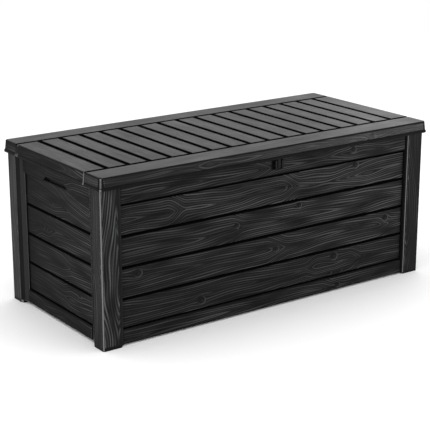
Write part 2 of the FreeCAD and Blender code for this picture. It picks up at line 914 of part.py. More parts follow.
def lid_tube(name, sign):
    """A square steel tube that lies in the ribs' channels."""
    body = new_body(name)
    centre = sign * d.tube_place
    half = d.tube_size / 2
    reach = d.tube_length / 2
    block(body, "bar", (-1 * reach, reach), (centre - half, centre + half), (rib_bottom, lid_underside))
    bore = half - d.tube_wall
    block(
        body,
        "bore",
        (-1 * reach, reach),
        (centre - bore, centre + bore),
        (rib_bottom + d.tube_wall, lid_underside - d.tube_wall),
        cut=True,
    )
    return body


# ---------------------------------------------------------------- hinges


def hinge_places():
    return (("left", -1 * d.hinge_spread), ("centre", formula(0)), ("right", d.hinge_spread))


def hinge_base(label, x):
    """The fixed half of a hinge: a plate on the rear header with two knuckles."""
    body = new_body(f"hinge_base_{label}")
    half = d.hinge_length / 2
    plate_y = band_y + d.hinge_plate
    plate_top = hinge_z + d.knuckle_radius - d.pin_head_height / 2
    block(
        body, "plate", (x - half, x + half), (band_y, plate_y), (plate_top - d.hinge_plate_height, plate_top)
    )
    block(
        body,
        "arm",
        (x - half, x + half),
        (band_y, hinge_y),
        (hinge_z - d.knuckle_radius, hinge_z + d.knuckle_radius / 2),
    )
    round_bar(body, "knuckles", "X", (x - half, hinge_y, hinge_z), d.knuckle_radius, d.hinge_length)
    gap = d.middle_knuckle / 2 + d.knuckle_gap
    block(
        body,
        "knuckle_gap",
        (x - gap, x + gap),
        (plate_y, half_width),
        (hinge_z - 2 * d.knuckle_radius, hinge_z + 2 * d.knuckle_radius),
        cut=True,
    )
    round_bar(body, "pin_bore", "X", (x - half, hinge_y, hinge_z), pin_bore, d.hinge_length, cut=True)
    for place_label, offset in (("left", -1), ("right", 1)):
        hole_x = x + offset * d.hinge_length / 4
        bore_y(body, f"screw_hole_{place_label}", hole_x, hinge_screw_z, band_y, plate_y, 1)
    return body


def hinge_leaf(label, x):
    """The lid's half of a hinge: one knuckle on an arm that ends in a flange under the lid."""
    body = new_body(f"hinge_leaf_{label}")
    half = d.middle_knuckle / 2
    arm_y = (hinge_y - d.leaf_thickness, hinge_y)
    round_bar(body, "knuckle", "X", (x - half, hinge_y, hinge_z), d.knuckle_radius, d.middle_knuckle)
    block(body, "arm", (x - half, x + half), arm_y, (hinge_z, lid_underside))
    lid_flange(body, x, (hinge_y - d.flange_depth, hinge_y), leaf_screw_y)
    round_bar(body, "pin_bore", "X", (x - half, hinge_y, hinge_z), pin_bore, d.middle_knuckle, cut=True)
    return body


def lid_flange(body, x, y_span, screw_y):
    """Adds a flange that two screws hold up against the lid's underside."""
    half = d.flange_length / 2
    low = lid_underside - d.leaf_thickness
    block(body, "flange", (x - half, x + half), y_span, (low, lid_underside))
    for label, offset in (("left", -1), ("right", 1)):
        start = (x + offset * d.flange_screw_place, screw_y, low)
        round_bar(body, f"screw_hole_{label}", "Z", start, hole_radius, d.leaf_thickness, cut=True)


def hinge_pin(label, x):
    body = new_body(f"hinge_pin_{label}")
    half = d.hinge_length / 2
    head = d.pin_head_height
    round_bar(body, "shank", "X", (x - half, hinge_y, hinge_z), d.hinge_pin_radius, d.hinge_length)
    round_bar(body, "head", "X", (x - half - head, hinge_y, hinge_z), d.pin_head_radius, head)
    return body


# ---------------------------------------------------------------- padlock eye


def lock_bracket():
    """A plate on the front header with two ears, bored for a padlock's shackle."""
    body = new_body("lock_bracket")
    half = d.lock_width / 2
    front = -1 * (band_y + d.lock_proud)
    plate_y = -1 * (band_y + d.lock_plate)
    span = (d.lock_offset - half, d.lock_offset + half)
    block(body, "plate", span, (-1 * band_y, plate_y), (lock_bottom, lock_top))
    for sign in (-1, 1):
        label = "left" if sign < 0 else "right"
        ear = block(
            body,
            f"ear_{label}",
            (d.lock_offset + sign * half, d.lock_offset + sign * (half - d.ear_thickness)),
            (front, -1 * band_y),
            (lock_bottom, lock_top),
        )
    dress(
        body,
        "Chamfer",
        "ear_bevels",
        ear,
        lambda a, b: near(a.y, front.value) and near(b.y, front.value) and near(a.z, b.z),
        d.ear_bevel,
    )
    start = (d.lock_offset - half, eye_y, eye_z)
    round_bar(body, "shackle_bore", "X", start, d.eye_radius, d.lock_width, cut=True)
    pilot_end = band_y + d.screw_bite
    pilot_x = d.lock_offset - lock_screw_x
    pilot = bore_y(body, "screw_pilot", pilot_x, lock_screw_z, band_y, pilot_end, -1)
    pattern(body, "screw_pilots", [pilot], ("X_Axis", 2 * lock_screw_x, formula(2)))
    return body


def lock_tongue():
    """The lid's tongue, which drops between the ears and carries the same bore."""
    body = new_body("lock_tongue")
    half = d.tongue_thickness / 2
    back = eye_y + d.tongue_depth / 2
    front = eye_y - d.tongue_depth / 2
    low = eye_z - d.eye_rise / 2 - d.eye_radius / 2
    block(body, "tongue", (d.lock_offset - half, d.lock_offset + half), (front, back), (low, lid_underside))
    lid_flange(body, d.lock_offset, (front, -1 * (board_y + d.fit_gap)), tongue_screw_y)
    start = (d.lock_offset - half, eye_y, eye_z)
    round_bar(
        body, "shackle_bore", "X", start, d.eye_radius + d.fit_gap, d.tongue_thickness, cut=True
    )
    return body


# ---------------------------------------------------------------- gas struts


def wall_bracket(label, side):
    """A plate on the side wall, with the stud that the strut's lower eye turns on."""
    body = new_body(f"strut_wall_bracket_{label}")
    y, z = d.wall_pivot_place, d.wall_pivot_height
    plate_x = inner_x - d.bracket_thickness
    stud_end = strut_x - d.socket_width / 2 - d.open_pivot_gap
    block(
        body,
        "plate",
        (side * inner_x, side * plate_x),
        (y - d.bracket_half_width, y + d.bracket_half_width),
        (z - d.bracket_length / 2, z + d.bracket_length / 2),
    )
    stud_start = stud_end if side > 0 else -1 * plate_x
    round_bar(body, "stud", "X", (stud_start, y, z), d.stud_radius, plate_x - stud_end)
    head_start = stud_end - d.stud_head_height if side > 0 else -1 * stud_end
    round_bar(body, "stud_head", "X", (head_start, y, z), d.stud_head_radius, d.stud_head_height)
    for level, offset in (("low", -1), ("high", 1)):
        hole_start = plate_x if side > 0 else -1 * inner_x
        start = (hole_start, y, z + offset * d.bracket_screw_place)
        round_bar(body, f"screw_hole_{level}", "X", start, hole_radius, d.bracket_thickness, cut=True)
    return body


def lid_bracket(label, side):
    """An angle under the lid. Its stud stops short of the strut's socket, where the linkage is opened."""
    body = new_body(f"lid_strut_bracket_{label}")
    y, z = lid_pivot_y, lid_pivot_z
    plate_in = strut_x + d.socket_width / 2 + d.open_pivot_gap + d.stud_head_height / 2
    plate_out = plate_in + d.bracket_thickness
    y_span = (y - d.bracket_half_width, y + d.bracket_half_width)
    block(body, "plate", (side * plate_in, side * plate_out), y_span, (z - d.socket_radius, lid_underside))
    flange_low = lid_underside - d.bracket_thickness
    block(
        body,
        "flange",
        (side * (strut_x - d.bracket_half_width), side * plate_out),
        (y - d.lid_flange_half_width, y + d.lid_flange_half_width),
        (flange_low, lid_underside),
    )
    for row, offset in (("front", -1), ("rear", 1)):
        start = (side * lid_flange_screw_x, y + offset * d.lid_flange_screw_place, flange_low)
        round_bar(body, f"screw_hole_{row}", "Z", start, hole_radius, d.bracket_thickness, cut=True)
    stud_length = d.stud_head_height / 2
    stud_start = plate_in - stud_length if side > 0 else -1 * plate_in
    round_bar(body, "stud", "X", (stud_start, y, z), d.stud_head_radius, stud_length)
    return body


def lean_body(body, side):
    """Stands a strut's piece, drawn upright at its own origin, on the wall's pivot."""
    tilt = Formula(f"(90 deg - {strut_angle.text})", 90 - strut_angle.value)
    turn = FreeCAD.Rotation(FreeCAD.Vector(-1, 0, 0), tilt.value)
    body.Placement = FreeCAD.Placement(FreeCAD.Vector(), turn)
    place(body, side * strut_x, d.wall_pivot_place, d.wall_pivot_height)
    bind(body, "Placement.Rotation.Angle", tilt)


def turned(body, name, points):
    """Turns a half outline, given as (radius, height) points, about the piece's own Z axis."""
    sketch = new_sketch(body, f"{name}_outline", "XZ_Plane")
    outline(sketch, points)
    feature = body.newObject("PartDesign::Revolution", name)
    feature.Profile = sketch
    feature.ReferenceAxis = (sketch, ["V_Axis"])
    feature.Angle = 360
    body.Tip = feature
    return feature


def strut_cylinder(label, side):
    """The gas cylinder, bored from its top, with the eye that turns on the wall's stud."""
    body = new_body(f"strut_cylinder_{label}")
    top = d.strut_start + d.strut_tube_length
    turned(
        body,
        "tube",
        [
            (0, d.strut_start),
            (d.strut_radius, d.strut_start),
            (d.strut_radius, top),
            (d.strut_bore, top),
            (d.strut_bore, d.strut_start + d.strut_plug),
            (0, d.strut_start + d.strut_plug),
        ],
    )
    half = d.socket_width / 2
    block(body, "neck", (-1 * half, half), (-1 * half, half), (0, d.strut_start))
    round_bar(body, "eye", "X", (-1 * half, 0, 0), d.socket_radius, d.socket_width)
    bore = d.stud_radius + d.pin_clearance
    round_bar(body, "eye_bore", "X", (-1 * half, 0, 0), bore, d.socket_width, cut=True)
    lean_body(body, side)
    return body


def strut_gland(label, side):
    """The plug and cap that guide the rod at the cylinder's mouth."""
    body = new_body(f"strut_gland_{label}")
    mouth = d.strut_start + d.strut_tube_length
    guide = d.rod_radius + d.pin_clearance
    turned(
        body,
        "gland",
        [
            (guide, mouth - d.gland_depth),
            (d.strut_bore, mouth - d.gland_depth),
            (d.strut_bore, mouth),
            (d.strut_radius, mouth),
            (d.strut_radius, mouth + d.gland_cap / 2),
            (d.strut_bore, mouth + d.gland_cap),
            (guide, mouth + d.gland_cap),
        ],
    )
    lean_body(body, side)
    return body


def strut_rod(label, side):
    """The rod, with its piston inside the cylinder."""
    body = new_body(f"strut_rod_{label}")
    piston = d.strut_bore - d.pin_clearance
    piston_top = d.rod_start + d.piston_height
    rod_top = strut_length - d.socket_radius
    turned(
        body,
        "rod",
        [
            (0, d.rod_start),
            (piston, d.rod_start),
            (piston, piston_top),
            (d.rod_radius, piston_top),
            (d.rod_radius, rod_top),
            (0, rod_top),
        ],
    )
    lean_body(body, side)
    return body


def strut_end(label, side):
    """The socket on the rod's end, which faces the lid bracket's stud."""
    body = new_body(f"strut_end_{label}")
    half = d.socket_width / 2
    round_bar(
        body,
        "collar",
        "Z",
        (0, 0, strut_length - 2 * d.socket_radius),
        d.stud_head_radius,
        2 * d.socket_radius,
    )
    rod_hole = round_bar(
        body,
        "rod_hole",
        "Z",
        (0, 0, strut_length - 2 * d.socket_radius),
        d.rod_radius + d.pin_clearance,
        d.socket_radius,
        cut=True,
    )
    body.Tip = rod_hole
    round_bar(body, "socket", "X", (-1 * half, 0, strut_length), d.socket_radius, d.socket_width)
    for sign in (-1, 1):
        block(
            body,
            f"flat_{'left' if sign < 0 else 'right'}",
            (sign * half, sign * d.socket_radius),
            (-1 * d.socket_radius, d.socket_radius),
            (strut_length - d.socket_radius, strut_length + d.socket_radius),
            cut=True,
        )
    lean_body(body, side)
    return body


# ---------------------------------------------------------------- straps and screws


def piece_group(name, members):
    """Identical pieces in one node."""
    group = doc.addObject("Part::Compound", name)
    group.Label = name
    group.Links = members
    pieces.append(group)
    return group


def strap(name, x, y):
    plate = doc.addObject("Part::Box", name)
    bind(plate, "Length", d.strap_width)
    bind(plate, "Width", 2 * d.strap_reach)
    bind(plate, "Height", d.strap_thickness)
    place(plate, x - d.strap_width / 2, y - d.strap_reach, rib_bottom - d.strap_thickness)
    holes = []
    for row, offset in (("inner", -1 * d.boss_place), ("outer", d.boss_place)):
        hole = doc.addObject("Part::Cylinder", f"{name}_hole_{row}")
        bind(hole, "Radius", hole_radius)
        bind(hole, "Height", d.strap_thickness)
        place(hole, x, y + offset, rib_bottom - d.strap_thickness)
        holes.append(hole)
    pair = doc.addObject("Part::MultiFuse", f"{name}_holes")
    pair.Shapes = holes
    cut = doc.addObject("Part::Cut", f"{name}_cut")
    cut.Base = plate
    cut.Tool = pair
    return cut


def screw(name, seat, axis, way, shank):
    """A screw whose head sits at the seat point and whose shank runs from it along way on the axis."""
    parts = []
    for part, radius, length, direction in (
        ("head", d.screw_head_radius, d.screw_head_height, -way),
        ("shank", d.screw_radius, shank, way),
    ):
        bar = doc.addObject("Part::Cylinder", f"{name}_{part}")
        bind(bar, "Radius", radius)
        bind(bar, "Height", length)
        bar.Placement = FreeCAD.Placement(FreeCAD.Vector(), TURNS[axis])
        start = list(seat)
        index = "XYZ".index(axis)
        if direction < 0:
            start[index] = formula(start[index]) - length
        place(bar, *start)
        parts.append(bar)
    joined = doc.addObject("Part::MultiFuse", name)
    joined.Shapes = parts
    return joined


def strap_places():
    for row in (-1, 1):
        for column in (-1, 0, 1):
            yield column * d.strap_pitch, row * d.tube_place


def lid_straps():
    straps = [strap(f"strap_{n}", x, y) for n, (x, y) in enumerate(strap_places())]
    return piece_group("lid_tube_straps", straps)


def screw_group(name, axis, seats, shank):
    """Identical screws in one node. Each seat is its point and the way its shank runs."""
    members = []
    for point, way in seats:
        members.append(screw(f"{name}_{len(members)}", point, axis, way, shank - d.fit_gap))
    return piece_group(name, members)


def post_screws():
    """The screws that pull the corner posts onto the long walls."""
    seats = [
        ((side * post_screw_x, face * inner_y, d.post_screw_low + row * d.post_screw_pitch), face)
        for side in (-1, 1)
        for face in (-1, 1)
        for row in range(int(d.post_screw_rows.value))
    ]
    screw_group("post_screws", "Y", seats, d.panel_thickness + d.screw_bite)


def strap_screws():
    seat_z = rib_bottom - d.strap_thickness
    seats = [
        ((x, y + offset * d.boss_place, seat_z), 1) for x, y in strap_places() for offset in (-1, 1)
    ]
    screw_group("strap_screws", "Z", seats, d.strap_thickness + d.screw_bite)


def lid_flange_screws():
    """The screws that hold the hinge leaves and the tongue to the lid."""
    flanges = [(x, leaf_screw_y) for label, x in hinge_places()]
    flanges.append((d.lock_offset, tongue_screw_y))
    seat_z = lid_underside - d.leaf_thickness
    seats = [
        ((x + offset * d.flange_screw_place, y, seat_z), 1) for x, y in flanges for offset in (-1, 1)
    ]
    screw_group("lid_flange_screws", "Z", seats, d.leaf_thickness + d.lid_bite)


def lid_bracket_screws():
    seat_z = lid_underside - d.bracket_thickness
    seats = [
        ((side * lid_flange_screw_x, lid_pivot_y + offset * d.lid_flange_screw_place, seat_z), 1)
        for side in (-1, 1)
        for offset in (-1, 1)
    ]
    screw_group("lid_bracket_screws", "Z", seats, d.bracket_thickness + d.lid_bite)


def hinge_screws():
    seats = [
        ((x + offset * d.hinge_length / 4, band_y + d.hinge_plate, hinge_screw_z), -1)
        for label, x in hinge_places()
        for offset in (-1, 1)
    ]
    screw_group("hinge_screws", "Y", seats, d.hinge_plate + d.screw_bite)


def lock_screws():
    seats = [((d.lock_offset + side * lock_screw_x, -1 * inner_y, lock_screw_z), -1) for side in (-1, 1)]
    screw_group("lock_screws", "Y", seats, band_y - inner_y + d.screw_bite)


def wall_bracket_screws():
    seats = [
        (
            (
                side * (inner_x - d.bracket_thickness),
                d.wall_pivot_place,
                d.wall_pivot_height + offset * d.bracket_screw_place,
            ),
            side,
        )
        for side in (-1, 1)
        for offset in (-1, 1)
    ]
    screw_group("wall_bracket_screws", "X", seats, d.bracket_thickness + wall_screw_bite)


# ---------------------------------------------------------------- assembly


def build():
    floor_panel()
    front_panel()
    rear_panel()
    side_panel("left_side_panel", -1)
    side_panel("right_side_panel", 1)
    for side, side_name in ((-1, "left"), (1, "right")):
        for face, face_name in ((-1, "front"), (1, "rear")):
            corner_post(f"{face_name}_{side_name}_post", side, face)
    lid_shell()
    lid_tube("lid_tube_front", -1)
    lid_tube("lid_tube_rear", 1)
    for label, x in hinge_places():
        hinge_base(label, x)
        hinge_leaf(label, x)
        hinge_pin(label, x)
    lock_bracket()
    lock_tongue()
    for side, label in ((-1, "left"), (1, "right")):
        wall_bracket(label, side)
        lid_bracket(label, side)
        strut_cylinder(label, side)
        strut_gland(label, side)
        strut_rod(label, side)
        strut_end(label, side)
    lid_straps()
    post_screws()
    hinge_screws()
    lock_screws()
    wall_bracket_screws()
    strap_screws()
    lid_flange_screws()
    lid_bracket_screws()
    doc.recompute()


def check():
    """Stops if anything failed to recompute or left no sound solid."""
    faults = []
    for item in doc.Objects:
        if "Invalid" in item.State or "Error" in item.State:
            faults.append(f"{item.Label}: {item.State}")
    for piece in pieces:
        shape = piece.Shape
        if shape.isNull() or not shape.isValid() or not shape.Solids:
            faults.append(f"{piece.Label}: no sound solid")
    if faults:
        raise RuntimeError("; ".join(faults))


def write():
    os.makedirs("parts", exist_ok=True)
    for piece in pieces:
        piece.Shape.exportStep(f"parts/{piece.Label}.step")
        print(piece.Label, len(piece.Shape.Solids), round(piece.Shape.Volume / 1000, 1), "cm3")


build()
check()
write()
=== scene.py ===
import math

import bpy
import numpy as np
from mathutils import Matrix, Vector


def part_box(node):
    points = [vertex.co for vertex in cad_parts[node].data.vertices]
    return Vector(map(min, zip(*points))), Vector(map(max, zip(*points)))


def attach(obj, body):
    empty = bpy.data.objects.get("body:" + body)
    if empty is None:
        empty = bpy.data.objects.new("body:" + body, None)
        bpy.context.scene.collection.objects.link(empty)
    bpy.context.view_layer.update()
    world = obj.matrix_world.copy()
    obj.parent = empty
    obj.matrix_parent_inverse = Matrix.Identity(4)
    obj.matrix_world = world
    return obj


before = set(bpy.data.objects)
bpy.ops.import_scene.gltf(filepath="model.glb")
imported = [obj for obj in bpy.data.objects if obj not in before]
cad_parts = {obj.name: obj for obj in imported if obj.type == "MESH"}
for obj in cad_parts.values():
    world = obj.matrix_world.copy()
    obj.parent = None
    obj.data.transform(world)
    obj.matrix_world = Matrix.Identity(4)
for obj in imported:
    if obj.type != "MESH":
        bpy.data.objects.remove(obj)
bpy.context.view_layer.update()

# Looks of the deck storage box: thin skins with raised wood grain over the CAD's moulded faces, materials and
# the studio. Sizes and places are in millimetres, in the CAD's frame, and turn to metres where a mesh or a
# material is made. The lights' are in metres.

MM = 0.001


def corners(node):
    """Lowest and highest corner of a CAD node, in millimetres."""
    low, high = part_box(node)
    return np.array(low) / MM, np.array(high) / MM


LID_LOW, LID_HIGH = corners("lid_shell")
FRONT_LOW, FRONT_HIGH = corners("front_panel")
SIDE_LOW, _ = corners("left_side_panel")
POST_LOW, POST_HIGH = corners("front_right_post")
LOCK_LOW, LOCK_HIGH = corners("lock_bracket")

# Walls
BAND_Y = -FRONT_LOW[1]            # outer face of the long walls' header and rail
BAND_X = -SIDE_LOW[0]             # outer face of the end walls' header and rail
BAND_DEPTH = 8                    # how far the boards lie behind it
BOARD_Y = BAND_Y - BAND_DEPTH
BOARD_X = BAND_X - BAND_DEPTH
WALL_TOP = FRONT_HIGH[2]
TOP_EDGE = 4                      # bare edge at the top of the walls and posts
RAIL_TOP = 62
RAIL_EDGE = 4                     # bare upper edge of the rail
RAIL_GAP = 4                      # gap between the rail and the lowest board
LONG_RAIL_LOW = 9
END_RAIL_LOW = 13
BOARD_COUNT = 4
BOARD_PITCH = 117.5
BOARD_EDGE = 1.3                  # bare edge of a board beside its joint
SHIPLAP = 8                       # height of the recess between two boards
HEADER_Z = 532
HEADER_EDGE = 2                   # bare edge of a header
END_HEADER_Z = 536
END_HEADER_REACH = 251
END_HEADER_CORNER = 14
SLOT_REACH = (95, 67)             # half widths of the finger slot, below and above
SLOT_HEIGHT = 20
SLOT_EDGE = 2.5                   # bare edge beside the finger slot
LOCK_EDGE = 3                     # bare edge round the padlock bracket's foot
HINGE_X = (-500, 0, 500)
HINGE_BASE = 40                   # half width of what a hinge covers on the rear header
HINGE_NOTCH = 39                  # half width of its notch in the lid's skirt

# Posts
POST_X = POST_HIGH[0]
POST_Y = -POST_LOW[1]
POST_FACE_X = 688                 # where a post's outer face starts, past its bevel
BEVEL_MIDDLE = 685                # halfway along that bevel
BOARD_END_GAP = 10                # from there to the ends of the long walls' skins
POST_SIDE_Y = 282                 # where its outer side ends at the long bevel
POST_FLANK = (747, 241)           # inner end of the long bevel
FLANK_MIDDLE = 262                # halfway along it
FLANK_GAP = 1.5                   # from its inner end to the ends of the end walls' skins
POST_FOOT = 12                    # bare height at the floor
POST_EDGE = 5.5                   # rounded edge of the post's outer corner
POST_SEAM = 1                     # bare edge at the long bevel's two borders
POST_HEART = 31                   # heart line's distance from the middle of its outer face

# Lid
SLAT_PITCH = 90
SLAT_GROOVES = 16
SLAT_GROOVE_WIDTH = 13
SLAT_EDGE = 4.2                   # bare edge of a slat beside its groove
FRONT_JOINT_Y = -250
REAR_JOINT_Y = 259
JOINT_WIDTH = 9
JOINT_EDGE = 2.6                  # bare edge of slats and long boards beside the joint between them
SKIRT_LEAN = 4                    # how far the skirt leans in from bottom to top
LIP_PROUD = 2                     # how far the lip stands out at its bottom
LID_EDGE = 3                      # rounded upper edge
LID_CORNER = 12                   # rounding of the long boards' outer corners
SKIRT_CORNER = 18                 # bare corner of the skirt
SKIRT_BARE = (11.5, 4.5)          # its bare height above the lip and below the upper edge
NOTCH_EDGE = 5                    # bare edge of the skirt beside a joint's notch
NOTCH_FLANK = 8.6                 # the same where the notch's flank is lit

# Skins
SINK = 0.3                        # how far a skin's border lies inside the CAD face
BACK = 0.9                        # how far its back does
STEP = (3.5, 1.25)                # spacing of its points along and across the grain
TAPER = 240                       # millimetres along a board in which its grain lines drift by one
BASE_HEIGHT = 0.12                # a skin's height between its grain lines
HEART_ROUND = 2                   # how wide the lines beside the heart line are rounded together
KNOT_REACH = (2.2, 1.5)           # a knot's radii within which it pushes lines aside, along and across
KNOT_PUSH = 0.85                  # how strongly it does
KNOT_STRETCH = 1.15               # a knot's length along the board over its height
CORNER_SLACK = 0.01               # lets in the points that lie on a rounded corner's outline

FLOOR_SIZE = 60000


# ---------------------------------------------------------------- grain relief


class Grain:
    """Moulded wood grain: lines along both sides of a heart line, with chevrons across it and knots.

    chevrons are (where, length, lines), pointing forward along the board, or backward where lines is below 0.
    knots are (along, across, radius). gain is the strength of the painted highlight on the grain at the
    board's start and at its end."""

    def __init__(self, seed, heart, chevrons=(), knots=(), lean=0.0, spacing=8.5, depth=0.8, gain=(1, 1)):
        self.seed = seed
        self.heart = heart
        self.chevrons = chevrons
        self.knots = knots
        self.lean = lean
        self.spacing = spacing
        self.depth = depth
        self.gain = gain


def waves(rng, s, t, count, along, across):
    """Smooth noise from -1 to 1 or so, made of waves whose lengths lie in the two ranges."""
    total = np.zeros_like(s)
    for _ in range(count):
        fs = rng.choice((-1, 1)) / rng.uniform(*along)
        ft = 1 / rng.uniform(*across)
        total += np.sin(2 * math.pi * (s * fs + t * ft) + rng.uniform(0, 2 * math.pi))
    return total / math.sqrt(count)


def ease(x):
    """0 below 0, 1 above 1, smooth between."""
    x = np.clip(x, 0, 1)
    return x * x * (3 - 2 * x)


def ridges(ring, power):
    """A ridge at each whole number of ring, sharper with more power."""
    return (0.5 + 0.5 * np.cos(2 * math.pi * ring)) ** power


def grain_rings(s, t, grain):
    """The number of the growth ring, rising away from the heart line."""
    rng = np.random.default_rng(grain.seed)
    side = t - grain.heart - grain.lean * s + 5 * waves(rng, s, t, 4, (300, 1000), (200, 600))
    for knot_s, knot_t, size in grain.knots:
        reach_s, reach_t = KNOT_REACH[0] * size, KNOT_REACH[1] * size
        near = ((s - knot_s) / reach_s) ** 2 + ((t - knot_t) / reach_t) ** 2
        side -= KNOT_PUSH * (t - knot_t) * np.exp(-near)
    ring = np.sqrt(side * side + HEART_ROUND ** 2) / grain.spacing + s / TAPER
    for chevron_s, length, lines in grain.chevrons:
        ring += abs(lines) * ease(math.copysign(1, lines) * (s - chevron_s) / length)
    return ring + 0.25 * waves(rng, s, t, 6, (150, 600), (40, 160))


def grain_relief(s, t, grain):
    """Height in millimetres of the grain at s along the board and t across it, and the strength of its
    painted highlight from 0 to 1.
    """
    rng = np.random.default_rng(grain.seed + 5000)
    ring = grain_rings(s, t, grain)
    slope = np.abs(grain_rings(s, t + 0.5, grain) - ring) / 0.5 * grain.spacing
    narrow = 0.2 + 0.8 * ease(slope / 0.8)
    weight = 0.7 + 0.3 * np.sin(2.4 * np.floor(ring + 0.5) + rng.uniform(0, 6))
    patch = np.clip(0.7 + 0.4 * waves(rng, s, t, 6, (200, 700), (40, 140)), 0.2, 1)
    thin = np.clip(0.5 + 0.5 * waves(rng, s, t, 6, (100, 400), (30, 110)), 0, 1)
    faint = 0.3 * ridges(2 * ring + 0.2, 2) * thin
    share = np.maximum(ridges(ring, 2) * weight * patch * narrow, faint)
    height = share.copy()
    for knot_s, knot_t, size in grain.knots:
        radius = np.hypot((s - knot_s) / KNOT_STRETCH, t - knot_t) / size
        disc = 0.3 + 0.7 * ridges(radius - 1, 3) * ease(2 * radius) - 0.3 * ridges(radius - 0.62, 4)
        inside = ease(3.2 * (1.3 - radius))
        height = height * (1 - inside) + disc * inside
        # Painted highlight on one side of each knot's rings, fading out towards the other.
        lit = 0.5 + 0.35 * (s - knot_s - t + knot_t) / (size * (radius + 0.1))
        share = share * (1 - inside) + 0.8 * lit * disc * inside
    low, high = s.min(), s.max()
    gain = grain.gain[0] + (grain.gain[1] - grain.gain[0]) * (s - low) / (high - low)
    return BASE_HEIGHT + grain.depth * np.clip(height, 0, 1), np.clip(share * gain, 0, 1)


def in_corner(over_s, over_t, radius):
    """Whether points so far past a rounded corner's centre lie inside its outline."""
    return over_s ** 2 + over_t ** 2 <= radius ** 2 + CORNER_SLACK


def rim_loop(quads, total):
    """The outline of a sheet of quads, in order."""
    starts = quads.reshape(-1)
    ends = np.roll(quads, -1, axis=1).reshape(-1)
    forward = starts.astype(np.int64) * total + ends
    backward = ends.astype(np.int64) * total + starts
    rim = ~np.isin(forward, backward)
    following = dict(zip(starts[rim].tolist(), ends[rim].tolist()))
    first = next(iter(following))
    loop = [first]
    while following[loop[-1]] != first:
        loop.append(following[loop[-1]])
    return np.array(loop)


def skin(name, body, finish, place, size, grain, keep=None):
    """A thin closed sheet with grain relief over a flat CAD face.

    place is (point at s 0 and t 0, direction of s, direction of t); the face looks along s x t. size is
    ((s0, s1), (t0, t1)). keep says which points belong, where the face isn't a rectangle."""
    origin, along, across = (np.array(v, float) for v in place)
    out = np.cross(along, across)
    (s0, s1), (t0, t1) = size
    columns = max(2, math.ceil((s1 - s0) / STEP[0])) + 1
    rows = max(2, math.ceil((t1 - t0) / STEP[1])) + 1
    s, t = np.meshgrid(np.linspace(s0, s1, columns), np.linspace(t0, t1, rows))
    s, t = s.reshape(-1), t.reshape(-1)
    corner = (np.arange(rows - 1)[:, None] * columns + np.arange(columns - 1)[None, :]).reshape(-1)
    quads = np.stack([corner, corner + 1, corner + 1 + columns, corner + columns], axis=1)
    if keep is not None:
        quads = quads[keep(s, t)[quads].all(axis=1)]
        used, quads = np.unique(quads, return_inverse=True)
        quads = quads.reshape(-1, 4)
        s, t = s[used], t[used]
    loop = rim_loop(quads, len(s))
    height, share = grain_relief(s, t, grain)
    height[loop] = -SINK
    share[loop] = 0
    face = origin + s[:, None] * along + t[:, None] * across
    front = face + height[:, None] * out
    back = face[loop] - BACK * out
    points = np.concatenate([front, back]) * MM
    low = len(s) + np.arange(len(loop))
    walls = np.stack([np.roll(loop, -1), loop, low, np.roll(low, -1)], axis=1)
    sheet_loops = np.concatenate([quads, walls]).reshape(-1)
    loops = np.concatenate([sheet_loops, low[::-1]])
    count = len(quads) + len(walls)
    starts = np.append(np.arange(count) * 4, count * 4)
    mesh = bpy.data.meshes.new(name)
    mesh.vertices.add(len(points))
    mesh.vertices.foreach_set("co", points.reshape(-1).astype(np.float32))
    mesh.loops.add(len(loops))
    mesh.loops.foreach_set("vertex_index", loops.astype(np.int32))
    mesh.polygons.add(len(starts))
    mesh.polygons.foreach_set("loop_start", starts.astype(np.int32))
    smooth = np.zeros(len(starts), bool)
    smooth[: len(quads)] = True
    mesh.polygons.foreach_set("use_smooth", smooth)
    mesh.update(calc_edges=True)
    # The points carry the painted highlight of the grain's ridges and knots, for the material.
    relief = mesh.attributes.new("relief", "FLOAT", "POINT")
    relief.data.foreach_set("value", np.concatenate([share, np.zeros(len(loop))]).astype(np.float32))
    mesh.materials.append(finish)
    piece = bpy.data.objects.new(name, mesh)
    bpy.context.scene.collection.objects.link(piece)
    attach(piece, body)


# ---------------------------------------------------------------- materials


